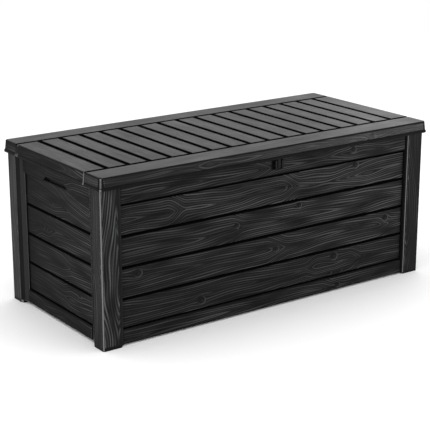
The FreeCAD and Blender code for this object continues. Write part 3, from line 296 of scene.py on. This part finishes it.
class Nodes:
    """Short calls for a material's node tree."""

    def __init__(self, name):
        self.material = bpy.data.materials.new(name)
        self.material.use_nodes = True
        self.tree = self.material.node_tree
        self.shader = self.tree.nodes["Principled BSDF"]

    def add(self, kind, **settings):
        node = self.tree.nodes.new(kind)
        for key, value in settings.items():
            setattr(node, key, value)
        return node

    def link(self, source, target):
        self.tree.links.new(source, target)

    def noise(self, scale, detail=4.0, rough=0.5, stretch=(1, 1, 1)):
        """A noise pattern fixed to the object; scale is its grains per metre."""
        place = self.add("ShaderNodeTexCoord")
        mapping = self.add("ShaderNodeMapping")
        mapping.inputs["Scale"].default_value = stretch
        pattern = self.add("ShaderNodeTexNoise")
        pattern.inputs["Scale"].default_value = scale
        pattern.inputs["Detail"].default_value = detail
        pattern.inputs["Roughness"].default_value = rough
        self.link(place.outputs["Object"], mapping.inputs["Vector"])
        self.link(mapping.outputs["Vector"], pattern.inputs["Vector"])
        return pattern.outputs["Fac"]

    def spread(self, value, low, high, to_low, to_high):
        """value's range low to high brought to the new range."""
        node = self.add("ShaderNodeMapRange")
        self.link(value, node.inputs["Value"])
        for key, number in (("From Min", low), ("From Max", high), ("To Min", to_low), ("To Max", to_high)):
            node.inputs[key].default_value = number
        return node.outputs["Result"]

    def calc(self, a, b, operation="ADD"):
        """A sum, or another operation on two numbers or sockets."""
        node = self.add("ShaderNodeMath", operation=operation)
        for socket, value in zip(node.inputs, (a, b)):
            if isinstance(value, (int, float)):
                socket.default_value = value
            else:
                self.link(value, socket)
        return node.outputs["Value"]

    def mix(self, share, a, b):
        """Colour a turning into colour b."""
        node = self.add("ShaderNodeMix", data_type="RGBA")
        self.link(share, node.inputs["Factor"])
        for socket, value in ((node.inputs["A"], a), (node.inputs["B"], b)):
            if isinstance(value, tuple):
                socket.default_value = (*value, 1)
            else:
                self.link(value, socket)
        return node.outputs["Result"]

    def soften(self, radius):
        """The surface's normal, with its edges rounded."""
        bevel = self.add("ShaderNodeBevel", samples=4)
        bevel.inputs["Radius"].default_value = radius * MM
        return bevel.outputs["Normal"]

    def edges(self, soft, gain):
        """How much the softened normal turns away from the surface, from 0 to 1 on an edge."""
        here = self.add("ShaderNodeNewGeometry")
        turn = self.add("ShaderNodeVectorMath", operation="DOT_PRODUCT")
        self.link(soft, turn.inputs[0])
        self.link(here.outputs["Normal"], turn.inputs[1])
        return self.spread(turn.outputs["Value"], 1.0, 1.0 - 1.0 / gain, 0.0, 1.0)

    def upright_corner(self, low, high):
        """1 where a face turns far enough between X and Y or between -X and -Y, and 0 on flat ones."""
        here = self.add("ShaderNodeTexCoord")
        parts = self.add("ShaderNodeSeparateXYZ")
        self.link(here.outputs["Normal"], parts.inputs["Vector"])
        both = self.calc(parts.outputs["X"], parts.outputs["Y"], "MULTIPLY")
        return self.spread(both, low, high, 0.0, 1.0)

    def between(self, axis, low, high, limits):
        """1 where the distance from the middle along axis is between low and high, and 0 elsewhere.

        limits holds the largest distance along other axes."""
        place = self.add("ShaderNodeTexCoord")
        parts = self.add("ShaderNodeSeparateXYZ")
        self.link(place.outputs["Object"], parts.inputs["Vector"])
        away = self.calc(parts.outputs[axis], 0.0, "ABSOLUTE")
        inside = self.calc(away, low * MM, "GREATER_THAN")
        inside = self.calc(inside, self.calc(away, high * MM, "LESS_THAN"), "MULTIPLY")
        for other, limit in limits.items():
            reach = self.calc(parts.outputs[other], 0.0, "ABSOLUTE")
            inside = self.calc(inside, self.calc(reach, limit * MM, "LESS_THAN"), "MULTIPLY")
        return inside

    def bump(self, height, strength, distance, normal):
        node = self.add("ShaderNodeBump")
        node.inputs["Strength"].default_value = strength
        node.inputs["Distance"].default_value = distance * MM
        self.link(height, node.inputs["Height"])
        self.link(normal, node.inputs["Normal"])
        return node.outputs["Normal"]


RESIN_DARK = (0.0035, 0.0035, 0.0036)
RESIN_LIGHT = (0.0105, 0.0106, 0.0108)
# Painted sheen on the faces inside the box.
INNER_SHEEN = (0.026, 0.0262, 0.0266)
# Painted highlight on the grain's ridges.
RIDGE_HIGHLIGHT = (0.068, 0.0685, 0.069)
# Painted highlight on upright corners and bevels that face the front left or the rear right.
CORNER_HIGHLIGHT = (0.14, 0.141, 0.143)
# Painted highlight on the flank of the joint's notch in the end skirts.
RESIN_LIT = (0.095, 0.0955, 0.0965)
# Weaker painted highlight on the posts' long bevels.
FLANK_HIGHLIGHT = (0.022, 0.0222, 0.0225)
RESIN_SHADE = (0.0008, 0.0008, 0.0008)
RESIN_EDGE = (0.07, 0.072, 0.075)
BOARD_SPECULAR = 0.028
POST_SPECULAR = 0.045
LID_SPECULAR = 0.1
END_SPECULAR = 0.015
CORE_SPECULAR = 0.02              # for what shows between the skins, and the end skirts
LID_GLOSS = 0.41
STRETCH = {"X": (0.035, 1, 1), "Y": (1, 0.035, 1), "Z": (1, 1, 0.035)}
CORNERS = (0.25, 0.32)            # turns at which a corner's painted highlight starts and is full
# The same for the lid's corners, with a narrower painted highlight.
NARROW_CORNERS = (0.43, 0.48)
# Where upright corners can get their painted highlight: past the middle of the posts' bevels.
PAST_BEVEL = ("X", BEVEL_MIDDLE, 2 * BEVEL_MIDDLE, {})


def resin(name, along, specular, gloss=0.32, corner=CORNERS, wear_and_highlight=CORNER_HIGHLIGHT, highlight_from=PAST_BEVEL,
          gullies=None, inner=None, lit=None):
    """Anthracite moulded resin with wood fibres along one axis.

    corner says from which turn upright corners get a painted highlight, the next argument its colour and the
    one after that where they can get it. gullies is what lies in shade between boards, which gets painted
    shade, inner the faces inside the box, which get a painted sheen, and lit two ranges that overlap on the
    flank of a joint, which gets a painted highlight. Ranges are the arguments of Nodes.between."""
    m = Nodes(name)
    cloud = m.noise(5.5, 3.0, 0.55)
    fibre = m.noise(260, 5.0, 0.6, STRETCH[along])
    streak = m.noise(80, 3.0, 0.55, STRETCH[along])
    speck = m.noise(1500, 2.0, 0.5)
    relief = m.add("ShaderNodeAttribute", attribute_name="relief").outputs["Fac"]
    soft = m.soften(1.6)
    mottle = m.calc(m.spread(cloud, 0.3, 0.7, 0.0, 0.3), m.spread(streak, 0.3, 0.7, 0.0, 0.35))
    mottle = m.calc(mottle, m.spread(fibre, 0.3, 0.7, 0.0, 0.35))
    colour = m.mix(mottle, RESIN_DARK, RESIN_LIGHT)
    # Painted highlight on upright corners and bevels that face the front left or the rear right, as if lit
    # from there.
    turned = m.calc(m.upright_corner(*corner), m.between(*highlight_from), "MULTIPLY")
    colour = m.mix(turned, colour, wear_and_highlight)
    # Painted highlight on the flank of a joint's notch.
    if lit is not None:
        colour = m.mix(m.calc(m.between(*lit[0]), m.between(*lit[1]), "MULTIPLY"), colour, RESIN_LIT)
    # Painted highlight on the grain's ridges and on the lit side of knots.
    colour = m.mix(m.spread(relief, 0.05, 0.9, 0.0, 1.0), colour, RIDGE_HIGHLIGHT)
    rough = m.spread(cloud, 0.3, 0.7, gloss + 0.04, gloss - 0.04)
    rough = m.calc(rough, m.spread(fibre, 0.3, 0.7, -0.04, 0.05))
    # Painted sheen on the faces inside the box.
    if inner is not None:
        colour = m.mix(m.between(*inner), colour, INNER_SHEEN)
    if gullies is not None:
        shade = m.between(*gullies)
        colour = m.mix(shade, colour, RESIN_SHADE)
        rough = m.calc(rough, m.spread(shade, 0.0, 1.0, 0.0, 0.5))
    m.link(colour, m.shader.inputs["Base Color"])
    m.link(rough, m.shader.inputs["Roughness"])
    m.shader.inputs["Specular IOR Level"].default_value = specular
    height = m.calc(m.spread(fibre, 0.2, 0.8, 0.0, 1.0), m.spread(speck, 0.2, 0.8, 0.0, 0.35))
    height = m.calc(height, m.spread(streak, 0.2, 0.8, 0.0, 0.8))
    m.link(m.bump(height, 0.3, 0.3, soft), m.shader.inputs["Normal"])
    return m.material


def plain_resin(name, dark, light, gloss=0.5):
    """Fine-grained moulded resin without wood grain, for the inside and the ribs."""
    m = Nodes(name)
    cloud = m.noise(7, 4.0, 0.6)
    speck = m.noise(700, 3.0, 0.6)
    soft = m.soften(1.2)
    wear_and_highlight = m.edges(soft, 3.0)
    colour = m.mix(m.spread(cloud, 0.3, 0.7, 0.0, 1.0), dark, light)
    colour = m.mix(m.spread(wear_and_highlight, 0.0, 1.0, 0.0, 0.5), colour, RESIN_EDGE)
    m.link(colour, m.shader.inputs["Base Color"])
    m.link(m.spread(speck, 0.3, 0.7, gloss - 0.06, gloss + 0.08), m.shader.inputs["Roughness"])
    m.shader.inputs["Specular IOR Level"].default_value = 0.35
    m.link(m.bump(speck, 0.3, 0.2, soft), m.shader.inputs["Normal"])
    return m.material


def metal(name, dark, light, gloss, metallic, grain=900, stretch=(1, 1, 1), wear=(0.3, 0.3, 0.3),
          specular=0.5):
    """Steel, bare or coated, with fine scratches and worn edges."""
    m = Nodes(name)
    cloud = m.noise(35, 4.0, 0.6)
    scratch = m.noise(grain, 4.0, 0.6, stretch)
    soft = m.soften(0.5)
    wear_and_highlight = m.edges(soft, 2.5)
    colour = m.mix(m.spread(cloud, 0.3, 0.7, 0.0, 1.0), dark, light)
    colour = m.mix(m.spread(wear_and_highlight, 0.0, 1.0, 0.0, 0.5), colour, wear)
    m.link(colour, m.shader.inputs["Base Color"])
    m.shader.inputs["Metallic"].default_value = metallic
    m.shader.inputs["Specular IOR Level"].default_value = specular
    m.link(m.spread(scratch, 0.3, 0.7, gloss - 0.06, gloss + 0.10), m.shader.inputs["Roughness"])
    m.link(m.bump(scratch, 0.2, 0.08, soft), m.shader.inputs["Normal"])
    return m.material


# Ranges that pick out faces of the CAD solids: (axis, low, high, limits on other axes).
GULLY_DEPTH = 9.5                 # of the recesses between two boards
LONG_GULLY_REACH = 679            # half their length on the long walls
END_GULLY_REACH = 240             # the same on the end walls
END_GULLY_TOP = 530
GROOVE_DEPTH = 5.6                # of the lid's grooves
GROOVE_REACH = {"X": 762, "Y": 349}
UNDERSIDE_REACH = {"X": 764, "Y": 351}
TOUCH = 0.1                       # so far past a face that it still counts as inside the range
LONG_GULLY = BOARD_Y - GULLY_DEPTH
END_GULLY = BOARD_X - GULLY_DEPTH
LID_GROOVE = LID_HIGH[2] - GROOVE_DEPTH
LONG_GULLIES = ("Y", LONG_GULLY, BOARD_Y + TOUCH, {"X": LONG_GULLY_REACH})
END_GULLIES = ("X", END_GULLY, BOARD_X + TOUCH, {"Y": END_GULLY_REACH, "Z": END_GULLY_TOP})
LID_GULLIES = ("Z", LID_GROOVE, LID_HIGH[2] + TOUCH, GROOVE_REACH)
IN_LONG_WALLS = ("Y", 0, LONG_GULLY, {})
IN_END_WALLS = ("X", 0, END_GULLY, {})
UNDER_LID = ("Z", 0, LID_GROOVE, UNDERSIDE_REACH)
# The flank of the front joint's notch in the end skirts, which gets a painted highlight.
SKIRT_JOINT = (
    ("X", 766.5, 790.0, {"Z": LID_HIGH[2] - 1.5}),
    ("Y", -FRONT_JOINT_Y - 8.0, -FRONT_JOINT_Y + 0.4, {}),
)

GRAIN_X = resin("resin_grain_x", "X", BOARD_SPECULAR)
GRAIN_Y = resin("resin_grain_y", "Y", LID_SPECULAR, gloss=LID_GLOSS)
LID_FRONT_GRAIN = resin("resin_lid_front_grain", "X", LID_SPECULAR * 1.13, gloss=LID_GLOSS)
LID_REAR_GRAIN = resin("resin_lid_rear_grain", "X", LID_SPECULAR * 0.9, gloss=LID_GLOSS)
GRAIN_Z = resin("resin_grain_z", "Z", POST_SPECULAR)
# Long bevels of the posts, with a weaker painted highlight on their inner half.
FLANK = resin("resin_flank", "Z", POST_SPECULAR, wear_and_highlight=FLANK_HIGHLIGHT, highlight_from=("Y", 0, FLANK_MIDDLE, {}))
END_GRAIN = resin("resin_end_grain", "Y", END_SPECULAR)
END_SKIRT = resin("resin_end_skirt", "Y", CORE_SPECULAR, gloss=0.38)
LONG_SKIRT = resin("resin_long_skirt", "X", LID_SPECULAR, gloss=0.2)
LONG_WALL = resin("resin_long_wall", "X", CORE_SPECULAR, gullies=LONG_GULLIES, inner=IN_LONG_WALLS)
END_WALL = resin("resin_end_wall", "Y", CORE_SPECULAR, gullies=END_GULLIES, inner=IN_END_WALLS)
LID_RESIN = resin(
    "resin_lid", "Y", CORE_SPECULAR,
    corner=NARROW_CORNERS, gullies=LID_GULLIES, inner=UNDER_LID, lit=SKIRT_JOINT,
)
INSIDE = plain_resin("resin_plain", (0.022, 0.0222, 0.0226), (0.03, 0.0303, 0.0308))
COATED = metal("coated_steel", (0.012, 0.012, 0.013), (0.022, 0.022, 0.024), 0.38, 0.0)
LOCK = metal(
    "lock_steel", (0.002, 0.002, 0.0021), (0.004, 0.004, 0.0042), 0.5, 0.0,
    wear=(0.02, 0.02, 0.02), specular=0.12,
)
TUBE = metal(
    "tube_steel", (0.30, 0.31, 0.32), (0.42, 0.43, 0.44), 0.34, 1.0, 500, (0.03, 1, 1), (0.6, 0.6, 0.6)
)
SCREW = metal("screw_steel", (0.34, 0.34, 0.33), (0.50, 0.50, 0.48), 0.30, 1.0, 1200, wear=(0.75, 0.75, 0.74))
STRUT = metal("strut_black", (0.008, 0.008, 0.009), (0.015, 0.015, 0.016), 0.26, 0.0, 1100)
CHROME = metal(
    "rod_chrome", (0.62, 0.63, 0.64), (0.74, 0.75, 0.76), 0.10, 1.0, 1600, (1, 1, 0.1), (0.8, 0.8, 0.8)
)


def paint(finish, *nodes):
    """Gives CAD nodes a material on their own objects' slots."""
    for node in nodes:
        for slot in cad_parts[node].material_slots:
            slot.link = "OBJECT"
            slot.material = finish


SIDES = ("left", "right")
HINGES = ("left", "centre", "right")


def paint_frame():
    """Gives every CAD node its material."""
    paint(LONG_WALL, "front_panel", "rear_panel")
    paint(END_WALL, *(f"{side}_side_panel" for side in SIDES))
    paint(LID_RESIN, "lid_shell")
    paint(GRAIN_Z, *(f"{end}_{side}_post" for end in ("front", "rear") for side in SIDES))
    paint(INSIDE, "floor_panel")
    paint(LOCK, "lock_bracket", "lock_tongue")
    paint(COATED, *(f"hinge_{part}_{place}" for part in ("base", "leaf") for place in HINGES))
    paint(COATED, *(f"{part}_bracket_{side}" for part in ("strut_wall", "lid_strut") for side in SIDES))
    paint(TUBE, "lid_tube_front", "lid_tube_rear", "lid_tube_straps")
    paint(STRUT, *(f"strut_{part}_{side}" for part in ("cylinder", "gland", "end") for side in SIDES))
    paint(CHROME, *(f"strut_rod_{side}" for side in SIDES))
    paint(SCREW, *(f"hinge_pin_{place}" for place in HINGES))
    paint(SCREW, "post_screws", "hinge_screws", "lock_screws", "wall_bracket_screws")
    paint(SCREW, "strap_screws", "lid_flange_screws", "lid_bracket_screws")


# ---------------------------------------------------------------- skins of the walls


# Heart's height, chevrons, knots and gain of each long board, from the lowest up; gain is the strength of the
# painted highlight on the grain at each end.
LONG_BOARDS = (
    (
        118,
        ((235, 70, -3), (400, 70, 3)),
        ((-328, 98, 15), (318, 146, 16), (300, 78, 7), (356, 78, 7)),
        (0.6, 0.8),
    ),
    (238, ((-30, 120, 4), (540, 90, 3)), ((-605, 262, 15), (25, 232, 10), (590, 258, 13)), (0.6, 1.0)),
    (345, ((-190, 60, 2),), ((-165, 360, 10), (135, 389, 11)), (0.6, 1.2)),
    (466, ((-480, 90, 4), (40, 100, 5), (500, 220, -4)), ((420, 506, 13), (62, 470, 9)), (0.8, 1.3)),
)
LONG_HEADER = (562, ((-90, 110, 4), (440, 220, -3)), ((400, 574, 12),), (0.7, 1.1))
LONG_RAIL = (26, ((250, 60, 2),), ((335, 24, 11),), (0.8, 0.8))


def board_heights():
    """(bottom, top) of each board's flat face."""
    for index in range(BOARD_COUNT):
        bottom = RAIL_TOP + RAIL_GAP if index == 0 else RAIL_TOP + index * BOARD_PITCH
        yield bottom, RAIL_TOP + (index + 1) * BOARD_PITCH - SHIPLAP


def between_hinges(reach, half):
    """Ends, in pairs, of the stretches from -reach to reach that keep half clear of each hinge's middle."""
    return [-reach, *(x + edge for x in HINGE_X for edge in (-half, half)), reach]


def clear_of_lock(s, t):
    """The front header's face, without the padlock bracket's foot and what is above it."""
    beside = (s < LOCK_LOW[0] - LOCK_EDGE) | (s > LOCK_HIGH[0] + LOCK_EDGE)
    return beside | (t < LOCK_LOW[2] - LOCK_EDGE)


def long_wall(word, face):
    """Skins of the front wall (face -1) or the rear wall (face 1)."""
    along = (-face, 0, 0)             # the front is seen with X to the right, the rear with X to the left
    half = POST_FACE_X - BOARD_END_GAP
    shift, seed = (0, 11) if face < 0 else (83, 71)

    def grain(spec, number, depth):
        heart, chevrons, knots, gain = spec
        chevrons = [(where + shift, length, lines) for where, length, lines in chevrons]
        knots = [(where + shift, height, size) for where, height, size in knots]
        return Grain(seed + number, heart, chevrons, knots, depth=depth, gain=gain)

    boards = ((0, face * BOARD_Y, 0), along, (0, 0, 1))
    bands = ((0, face * BAND_Y, 0), along, (0, 0, 1))
    for index, (bottom, top) in enumerate(board_heights()):
        spec = grain(LONG_BOARDS[index], index, 0.9)
        size = ((-half, half), (bottom + BOARD_EDGE, top - BOARD_EDGE))
        skin(f"{word}_board_{index + 1}_grain", "box", GRAIN_X, boards, size, spec)
    rail = grain(LONG_RAIL, 5, 0.8)
    size = ((-half, half), (LONG_RAIL_LOW, RAIL_TOP - RAIL_EDGE))
    skin(f"{word}_rail_grain", "box", GRAIN_X, bands, size, rail)
    header = grain(LONG_HEADER, 6, 0.8)
    stops = [-half, half] if face < 0 else between_hinges(half, HINGE_BASE)
    keep = clear_of_lock if face < 0 else None
    for index in range(0, len(stops), 2):
        size = ((stops[index], stops[index + 1]), (HEADER_Z + HEADER_EDGE, WALL_TOP - TOP_EDGE))
        skin(f"{word}_header_{index // 2 + 1}_grain", "box", GRAIN_X, bands, size, header, keep=keep)


def end_header_keeps(s, t):
    """The end header's face, with rounded lower corners and without the finger slot's mouth."""
    reach = END_HEADER_REACH - HEADER_EDGE
    radius = END_HEADER_CORNER
    over = np.maximum(np.abs(s) - (reach - radius), 0)
    under = np.maximum(END_HEADER_Z + HEADER_EDGE + radius - t, 0)
    wide, narrow = SLOT_REACH
    edge = wide + (narrow - wide) * (t - END_HEADER_Z) / SLOT_HEIGHT
    mouth = (t < END_HEADER_Z + SLOT_HEIGHT + HEADER_EDGE) & (np.abs(s) < edge + SLOT_EDGE)
    return in_corner(over, under, radius) & ~mouth


# Heart's height, chevrons, knots and lean of each end board, which runs from rear to front on the left wall.
END_BOARDS = (
    (122, ((90, 70, -2),), ((-148, 160, 8), (150, 150, 9)), 0.0),
    (232, ((20, 80, 2),), (), 0.0),
    (350, ((-190, 70, 2), (-70, 60, 3)), ((-115, 352, 12), (-88, 350, 8)), 0.0),
    (462, ((-30, 120, 3),), ((-40, 462, 9),), -0.12),
)


def end_wall(word, side):
    """Skins of the left wall (side -1) or the right wall (side 1)."""
    along = (0, side, 0)
    half = POST_FLANK[1] - FLANK_GAP
    boards = ((side * BOARD_X, 0, 0), along, (0, 0, 1))
    bands = ((side * BAND_X, 0, 0), along, (0, 0, 1))
    seed = 131 if side < 0 else 171
    # The painted highlight on the grain grows along each board and the header, towards the front on the left
    # wall.
    for index, (bottom, top) in enumerate(board_heights()):
        top = END_HEADER_Z - HEADER_EDGE if index == BOARD_COUNT - 1 else top
        heart, chevrons, knots, lean = END_BOARDS[index]
        grain = Grain(seed + index, heart, chevrons, knots, lean, gain=(0.2, 1.0))
        size = ((-half, half), (bottom + BOARD_EDGE, top - BOARD_EDGE))
        skin(f"{word}_board_{index + 1}_grain", "box", END_GRAIN, boards, size, grain)
    rail = Grain(seed + 5, 24, ((-160, 60, 2),), gain=(0.5, 0.5))
    size = ((-half, half), (END_RAIL_LOW, RAIL_TOP - RAIL_EDGE))
    skin(f"{word}_rail_grain", "box", END_GRAIN, bands, size, rail)
    header = Grain(seed + 6, 590, ((60, 80, 2),), depth=0.5, gain=(0.15, 0.8))
    reach = END_HEADER_REACH - HEADER_EDGE
    size = ((-reach, reach), (END_HEADER_Z + HEADER_EDGE, WALL_TOP - TOP_EDGE))
    skin(f"{word}_header_grain", "box", END_GRAIN, bands, size, header, keep=end_header_keeps)


def post_skins(word, side, face, seed):
    """Skins of a corner post: its outer face, its outer side and the long bevel beside the end boards.

    side and face are -1 or 1. The post at a long wall's left, seen from outside, has the stronger painted
    highlight on the grain of its outer face."""
    up = np.array((0, 0, 1.0))
    tall = (POST_FOOT, WALL_TOP - TOP_EDGE)
    centre = (POST_FACE_X + POST_X) / 2
    wide = (POST_X - POST_FACE_X) / 2 - POST_EDGE
    across = np.array((face, 0, 0.0))
    at_left = side * face > 0
    heart = -side * face * POST_HEART
    gain = (1.15, 1.1) if at_left else (0.35, 0.35)
    face_grain = Grain(seed, heart, ((230, 210, -5), (260, 330, 3)), spacing=11.5, depth=0.8, gain=gain)
    place = ((side * centre, face * POST_Y, 0), up, across)
    skin(f"{word}_post_face_grain", "box", GRAIN_Z, place, (tall, (-wide, wide)), face_grain)
    middle = (POST_SIDE_Y + POST_Y) / 2
    deep = (POST_Y - POST_SIDE_Y) / 2
    across = np.array((0, -side, 0.0))
    side_grain = Grain(seed + 1, 20, ((200, 200, 2),), gain=(0.6, 0.6) if face < 0 else (1.2, 1.2))
    low, high = sorted((-side * face * (deep - POST_EDGE), side * face * (deep - POST_SEAM)))
    place = ((side * POST_X, face * middle, 0), up, across)
    skin(f"{word}_post_side_grain", "box", GRAIN_Z, place, (tall, (low, high)), side_grain)
    outer = np.array((side * POST_X, face * POST_SIDE_Y, 0.0))
    inner = np.array((side * POST_FLANK[0], face * POST_FLANK[1], 0.0))
    start, end = (inner, outer) if at_left else (outer, inner)
    run = end - start
    length = np.linalg.norm(run)
    run = run / length
    flank = Grain(seed + 2, 20, ((100, 400, 3),), depth=0.5)
    size = (tall, (POST_SEAM, length - POST_SEAM))
    skin(f"{word}_post_flank_grain", "box", FLANK, (start, up, run), size, flank)


def lid_skins():
    """Skins of the lid's slats and of its two long boards."""
    top = LID_HIGH[2]
    half_x = LID_HIGH[0] - SKIRT_LEAN - LIP_PROUD - LID_EDGE
    half_y = LID_HIGH[1] - SKIRT_LEAN - LIP_PROUD - LID_EDGE
    across_place = ((0, 0, top), (0, 1, 0), (-1, 0, 0))
    along_place = ((0, 0, top), (1, 0, 0), (0, 1, 0))

    def rounded(s, t):
        over_s = np.maximum(np.abs(s) - (half_x - LID_CORNER), 0)
        over_t = np.maximum(np.abs(t) - (half_y - LID_CORNER), 0)
        return in_corner(over_s, over_t, LID_CORNER)

    joint = JOINT_WIDTH / 2 + JOINT_EDGE
    front_grain = Grain(301, -310, ((-260, 120, 3), (430, 120, -2)), ((250, -300, 13),), depth=0.22)
    rear_grain = Grain(311, 305, ((-420, 120, 2),), ((-350, 310, 13),), depth=0.22)
    for word, finish, grain, across in (
        ("front", LID_FRONT_GRAIN, front_grain, (-half_y, FRONT_JOINT_Y - joint)),
        ("rear", LID_REAR_GRAIN, rear_grain, (REAR_JOINT_Y + joint, half_y)),
    ):
        size = ((-half_x, half_x), across)
        skin(f"lid_{word}_board_grain", "lid", finish, along_place, size, grain, keep=rounded)
    slat = (FRONT_JOINT_Y + joint, REAR_JOINT_Y - joint)
    grooves = [SLAT_PITCH * (k - (SLAT_GROOVES - 1) / 2) for k in range(SLAT_GROOVES)]
    gap = SLAT_GROOVE_WIDTH / 2 + SLAT_EDGE
    lows = [-half_x] + [x + gap for x in grooves]
    highs = [x - gap for x in grooves] + [half_x]
    rng = np.random.default_rng(9)
    for index, (low, high) in enumerate(zip(lows, highs)):
        middle = -(low + high) / 2
        knots = ((rng.uniform(-200, 200), middle + rng.uniform(-25, 25), rng.uniform(7, 12)),)
        chevrons = ((rng.uniform(-200, 150), rng.uniform(60, 140), rng.choice((-3, 3))),)
        grain = Grain(330 + index, middle + rng.uniform(-25, 25), chevrons, knots, depth=0.2)
        skin(f"lid_slat_{index + 1:02d}_grain", "lid", GRAIN_Y, across_place, (slat, (-high, -low)), grain)


def skirt_skins():
    """Skins of the lid's leaning skirt, above its lip and clear of its notches."""
    low = LID_LOW[2]
    height = LID_HIGH[2] - low
    rise = math.hypot(SKIRT_LEAN, height)
    inward = SKIRT_LEAN / rise
    upward = height / rise
    flat_x = LID_HIGH[0] - SKIRT_CORNER
    flat_y = LID_HIGH[1] - SKIRT_CORNER
    band = (SKIRT_BARE[0], rise - SKIRT_BARE[1])
    for word, face, seed in (("front", -1, 401), ("rear", 1, 421)):
        place = ((0, face * (LID_HIGH[1] - LIP_PROUD), low), (-face, 0, 0), (0, -face * inward, upward))
        stops = [-flat_x, flat_x] if face < 0 else between_hinges(flat_x, HINGE_NOTCH)
        # The painted highlight on the grain grows along each piece of the skirt, to the right as seen from
        # outside.
        grain = Grain(seed, 26, ((420, 90, 3), (-300, 90, -2)), ((480, 24, 10),), depth=0.6, gain=(0.5, 1.2))
        for index in range(0, len(stops), 2):
            size = ((stops[index], stops[index + 1]), band)
            skin(f"lid_{word}_skirt_{index // 2 + 1}_grain", "lid", LONG_SKIRT, place, size, grain)
    for word, side, seed in (("left", -1, 441), ("right", 1, 461)):
        place = ((side * (LID_HIGH[0] - LIP_PROUD), 0, low), (0, side, 0), (-side * inward, 0, upward))
        front_notch = (FRONT_JOINT_Y - NOTCH_EDGE, FRONT_JOINT_Y + NOTCH_FLANK)
        rear_notch = (REAR_JOINT_Y - NOTCH_EDGE, REAR_JOINT_Y + NOTCH_EDGE)
        stops = [-flat_y, *front_notch, *rear_notch, flat_y]
        # The painted highlight on the grain grows along each piece of the skirt, towards the front on the
        # left.
        grain = Grain(seed, 24, ((60, 90, 2),), depth=0.4, gain=(0.1, 1.0))
        for index in range(0, len(stops), 2):
            reach = sorted((side * stops[index], side * stops[index + 1]))
            finish = GRAIN_Y if index == 0 else END_SKIRT
            skin(f"lid_{word}_skirt_{index // 2 + 1}_grain", "lid", finish, place, (reach, band), grain)


# ---------------------------------------------------------------- studio


def studio_floor():
    """A wide pale floor under the box."""
    m = Nodes("studio_floor")
    colour = m.mix(m.noise(1.5, 2.0), (0.94, 0.94, 0.94), (0.95, 0.95, 0.95))
    m.link(colour, m.shader.inputs["Base Color"])
    m.shader.inputs["Roughness"].default_value = 0.9
    half = FLOOR_SIZE / 2 * MM
    mesh = bpy.data.meshes.new("studio_floor")
    rim = [(-half, -half, 0), (half, -half, 0), (half, half, 0), (-half, half, 0)]
    mesh.from_pydata(rim, [], [(0, 1, 2, 3)])
    mesh.materials.append(m.material)
    floor = bpy.data.objects.new("studio_floor", mesh)
    bpy.context.scene.collection.objects.link(floor)


def area_light(name, place, target, size, power):
    """A soft rectangular light; place, target and size are in metres."""
    light = bpy.data.lights.new(name, "AREA")
    light.shape = "RECTANGLE"
    light.size, light.size_y = size
    light.energy = power
    lamp = bpy.data.objects.new(name, light)
    lamp.location = place
    lamp.visible_camera = False
    lamp.rotation_euler = (Vector(target) - Vector(place)).to_track_quat("-Z", "Y").to_euler()
    bpy.context.scene.collection.objects.link(lamp)


# Place, target, size and power of each light.
LIGHTS = {
    "top_light": ((0.0, 0.3, 4.5), (0, 0, 0), (5.0, 4.0), 60),
    "back_light": ((4.0, 4.7, 2.2), (0, 0, 0.6), (5.0, 3.0), 12),
    "right_light": ((2.84, 1.71, 1.3), (0.77, -0.36, 0.64), (1.2, 1.0), 3.3),
    "corner_light": ((-1.2, -5.4, 0.75), (0.2, -0.3, 0.35), (0.7, 1.2), 25),
    "front_light": ((2.8, -4.2, 2.1), (0, -0.3, 0.35), (2.4, 0.8), 16),
    "low_light": ((2.3, -2.45, 0.3), (0.5, -0.36, 0.62), (1.3, 0.3), 8),
    "left_light": ((-1.85, -1.05, 0.45), (-0.75, -0.2, 0.35), (0.4, 0.7), 4.8),
}
SKY_STRENGTH = 1.05


def studio_lights():
    """A white sky and the lights."""
    world = bpy.data.worlds.new("studio")
    world.use_nodes = True
    sky = world.node_tree.nodes["Background"]
    sky.inputs["Color"].default_value = (1, 1, 1, 1)
    sky.inputs["Strength"].default_value = SKY_STRENGTH
    bpy.context.scene.world = world
    for name, (place, target, size, power) in LIGHTS.items():
        area_light(name, place, target, size, power)


CAMERA_PLACE = (-2987.3, -4122.6, 1827.7)
CAMERA_YAW = 35.661               # degrees from straight behind towards the right
CAMERA_PITCH = 16.63              # degrees down
SENSOR = 36
LENS = 110.59
SHIFT = (-0.0007, -0.0079)
CLIP_END = 200                    # metres


def studio_camera():
    """Three-quarter view from the front left, slightly from above."""
    yaw = math.radians(CAMERA_YAW)
    pitch = math.radians(CAMERA_PITCH)
    ahead = Vector((math.sin(yaw) * math.cos(pitch), math.cos(yaw) * math.cos(pitch), -math.sin(pitch)))
    right = Vector((math.cos(yaw), -math.sin(yaw), 0))
    up = right.cross(ahead)
    data = bpy.data.cameras.new("camera")
    data.sensor_width = SENSOR
    data.lens = LENS
    data.shift_x, data.shift_y = SHIFT
    data.clip_end = CLIP_END
    camera = bpy.data.objects.new("camera", data)
    turned = Matrix((right, up, -ahead)).transposed().to_4x4()
    camera.matrix_world = Matrix.Translation(Vector(CAMERA_PLACE) * MM) @ turned
    bpy.context.scene.collection.objects.link(camera)
    bpy.context.scene.camera = camera


bpy.context.scene.view_settings.view_transform = "Standard"
paint_frame()
long_wall("front", -1)
long_wall("rear", 1)
end_wall("left", -1)
end_wall("right", 1)
for post_index, (post_face, post_side) in enumerate(((-1, -1), (-1, 1), (1, -1), (1, 1))):
    post_word = f"{'front' if post_face < 0 else 'rear'}_{'left' if post_side < 0 else 'right'}"
    post_skins(post_word, post_side, post_face, 211 + 10 * post_index)
lid_skins()
skirt_skins()
studio_floor()
studio_lights()
studio_camera()
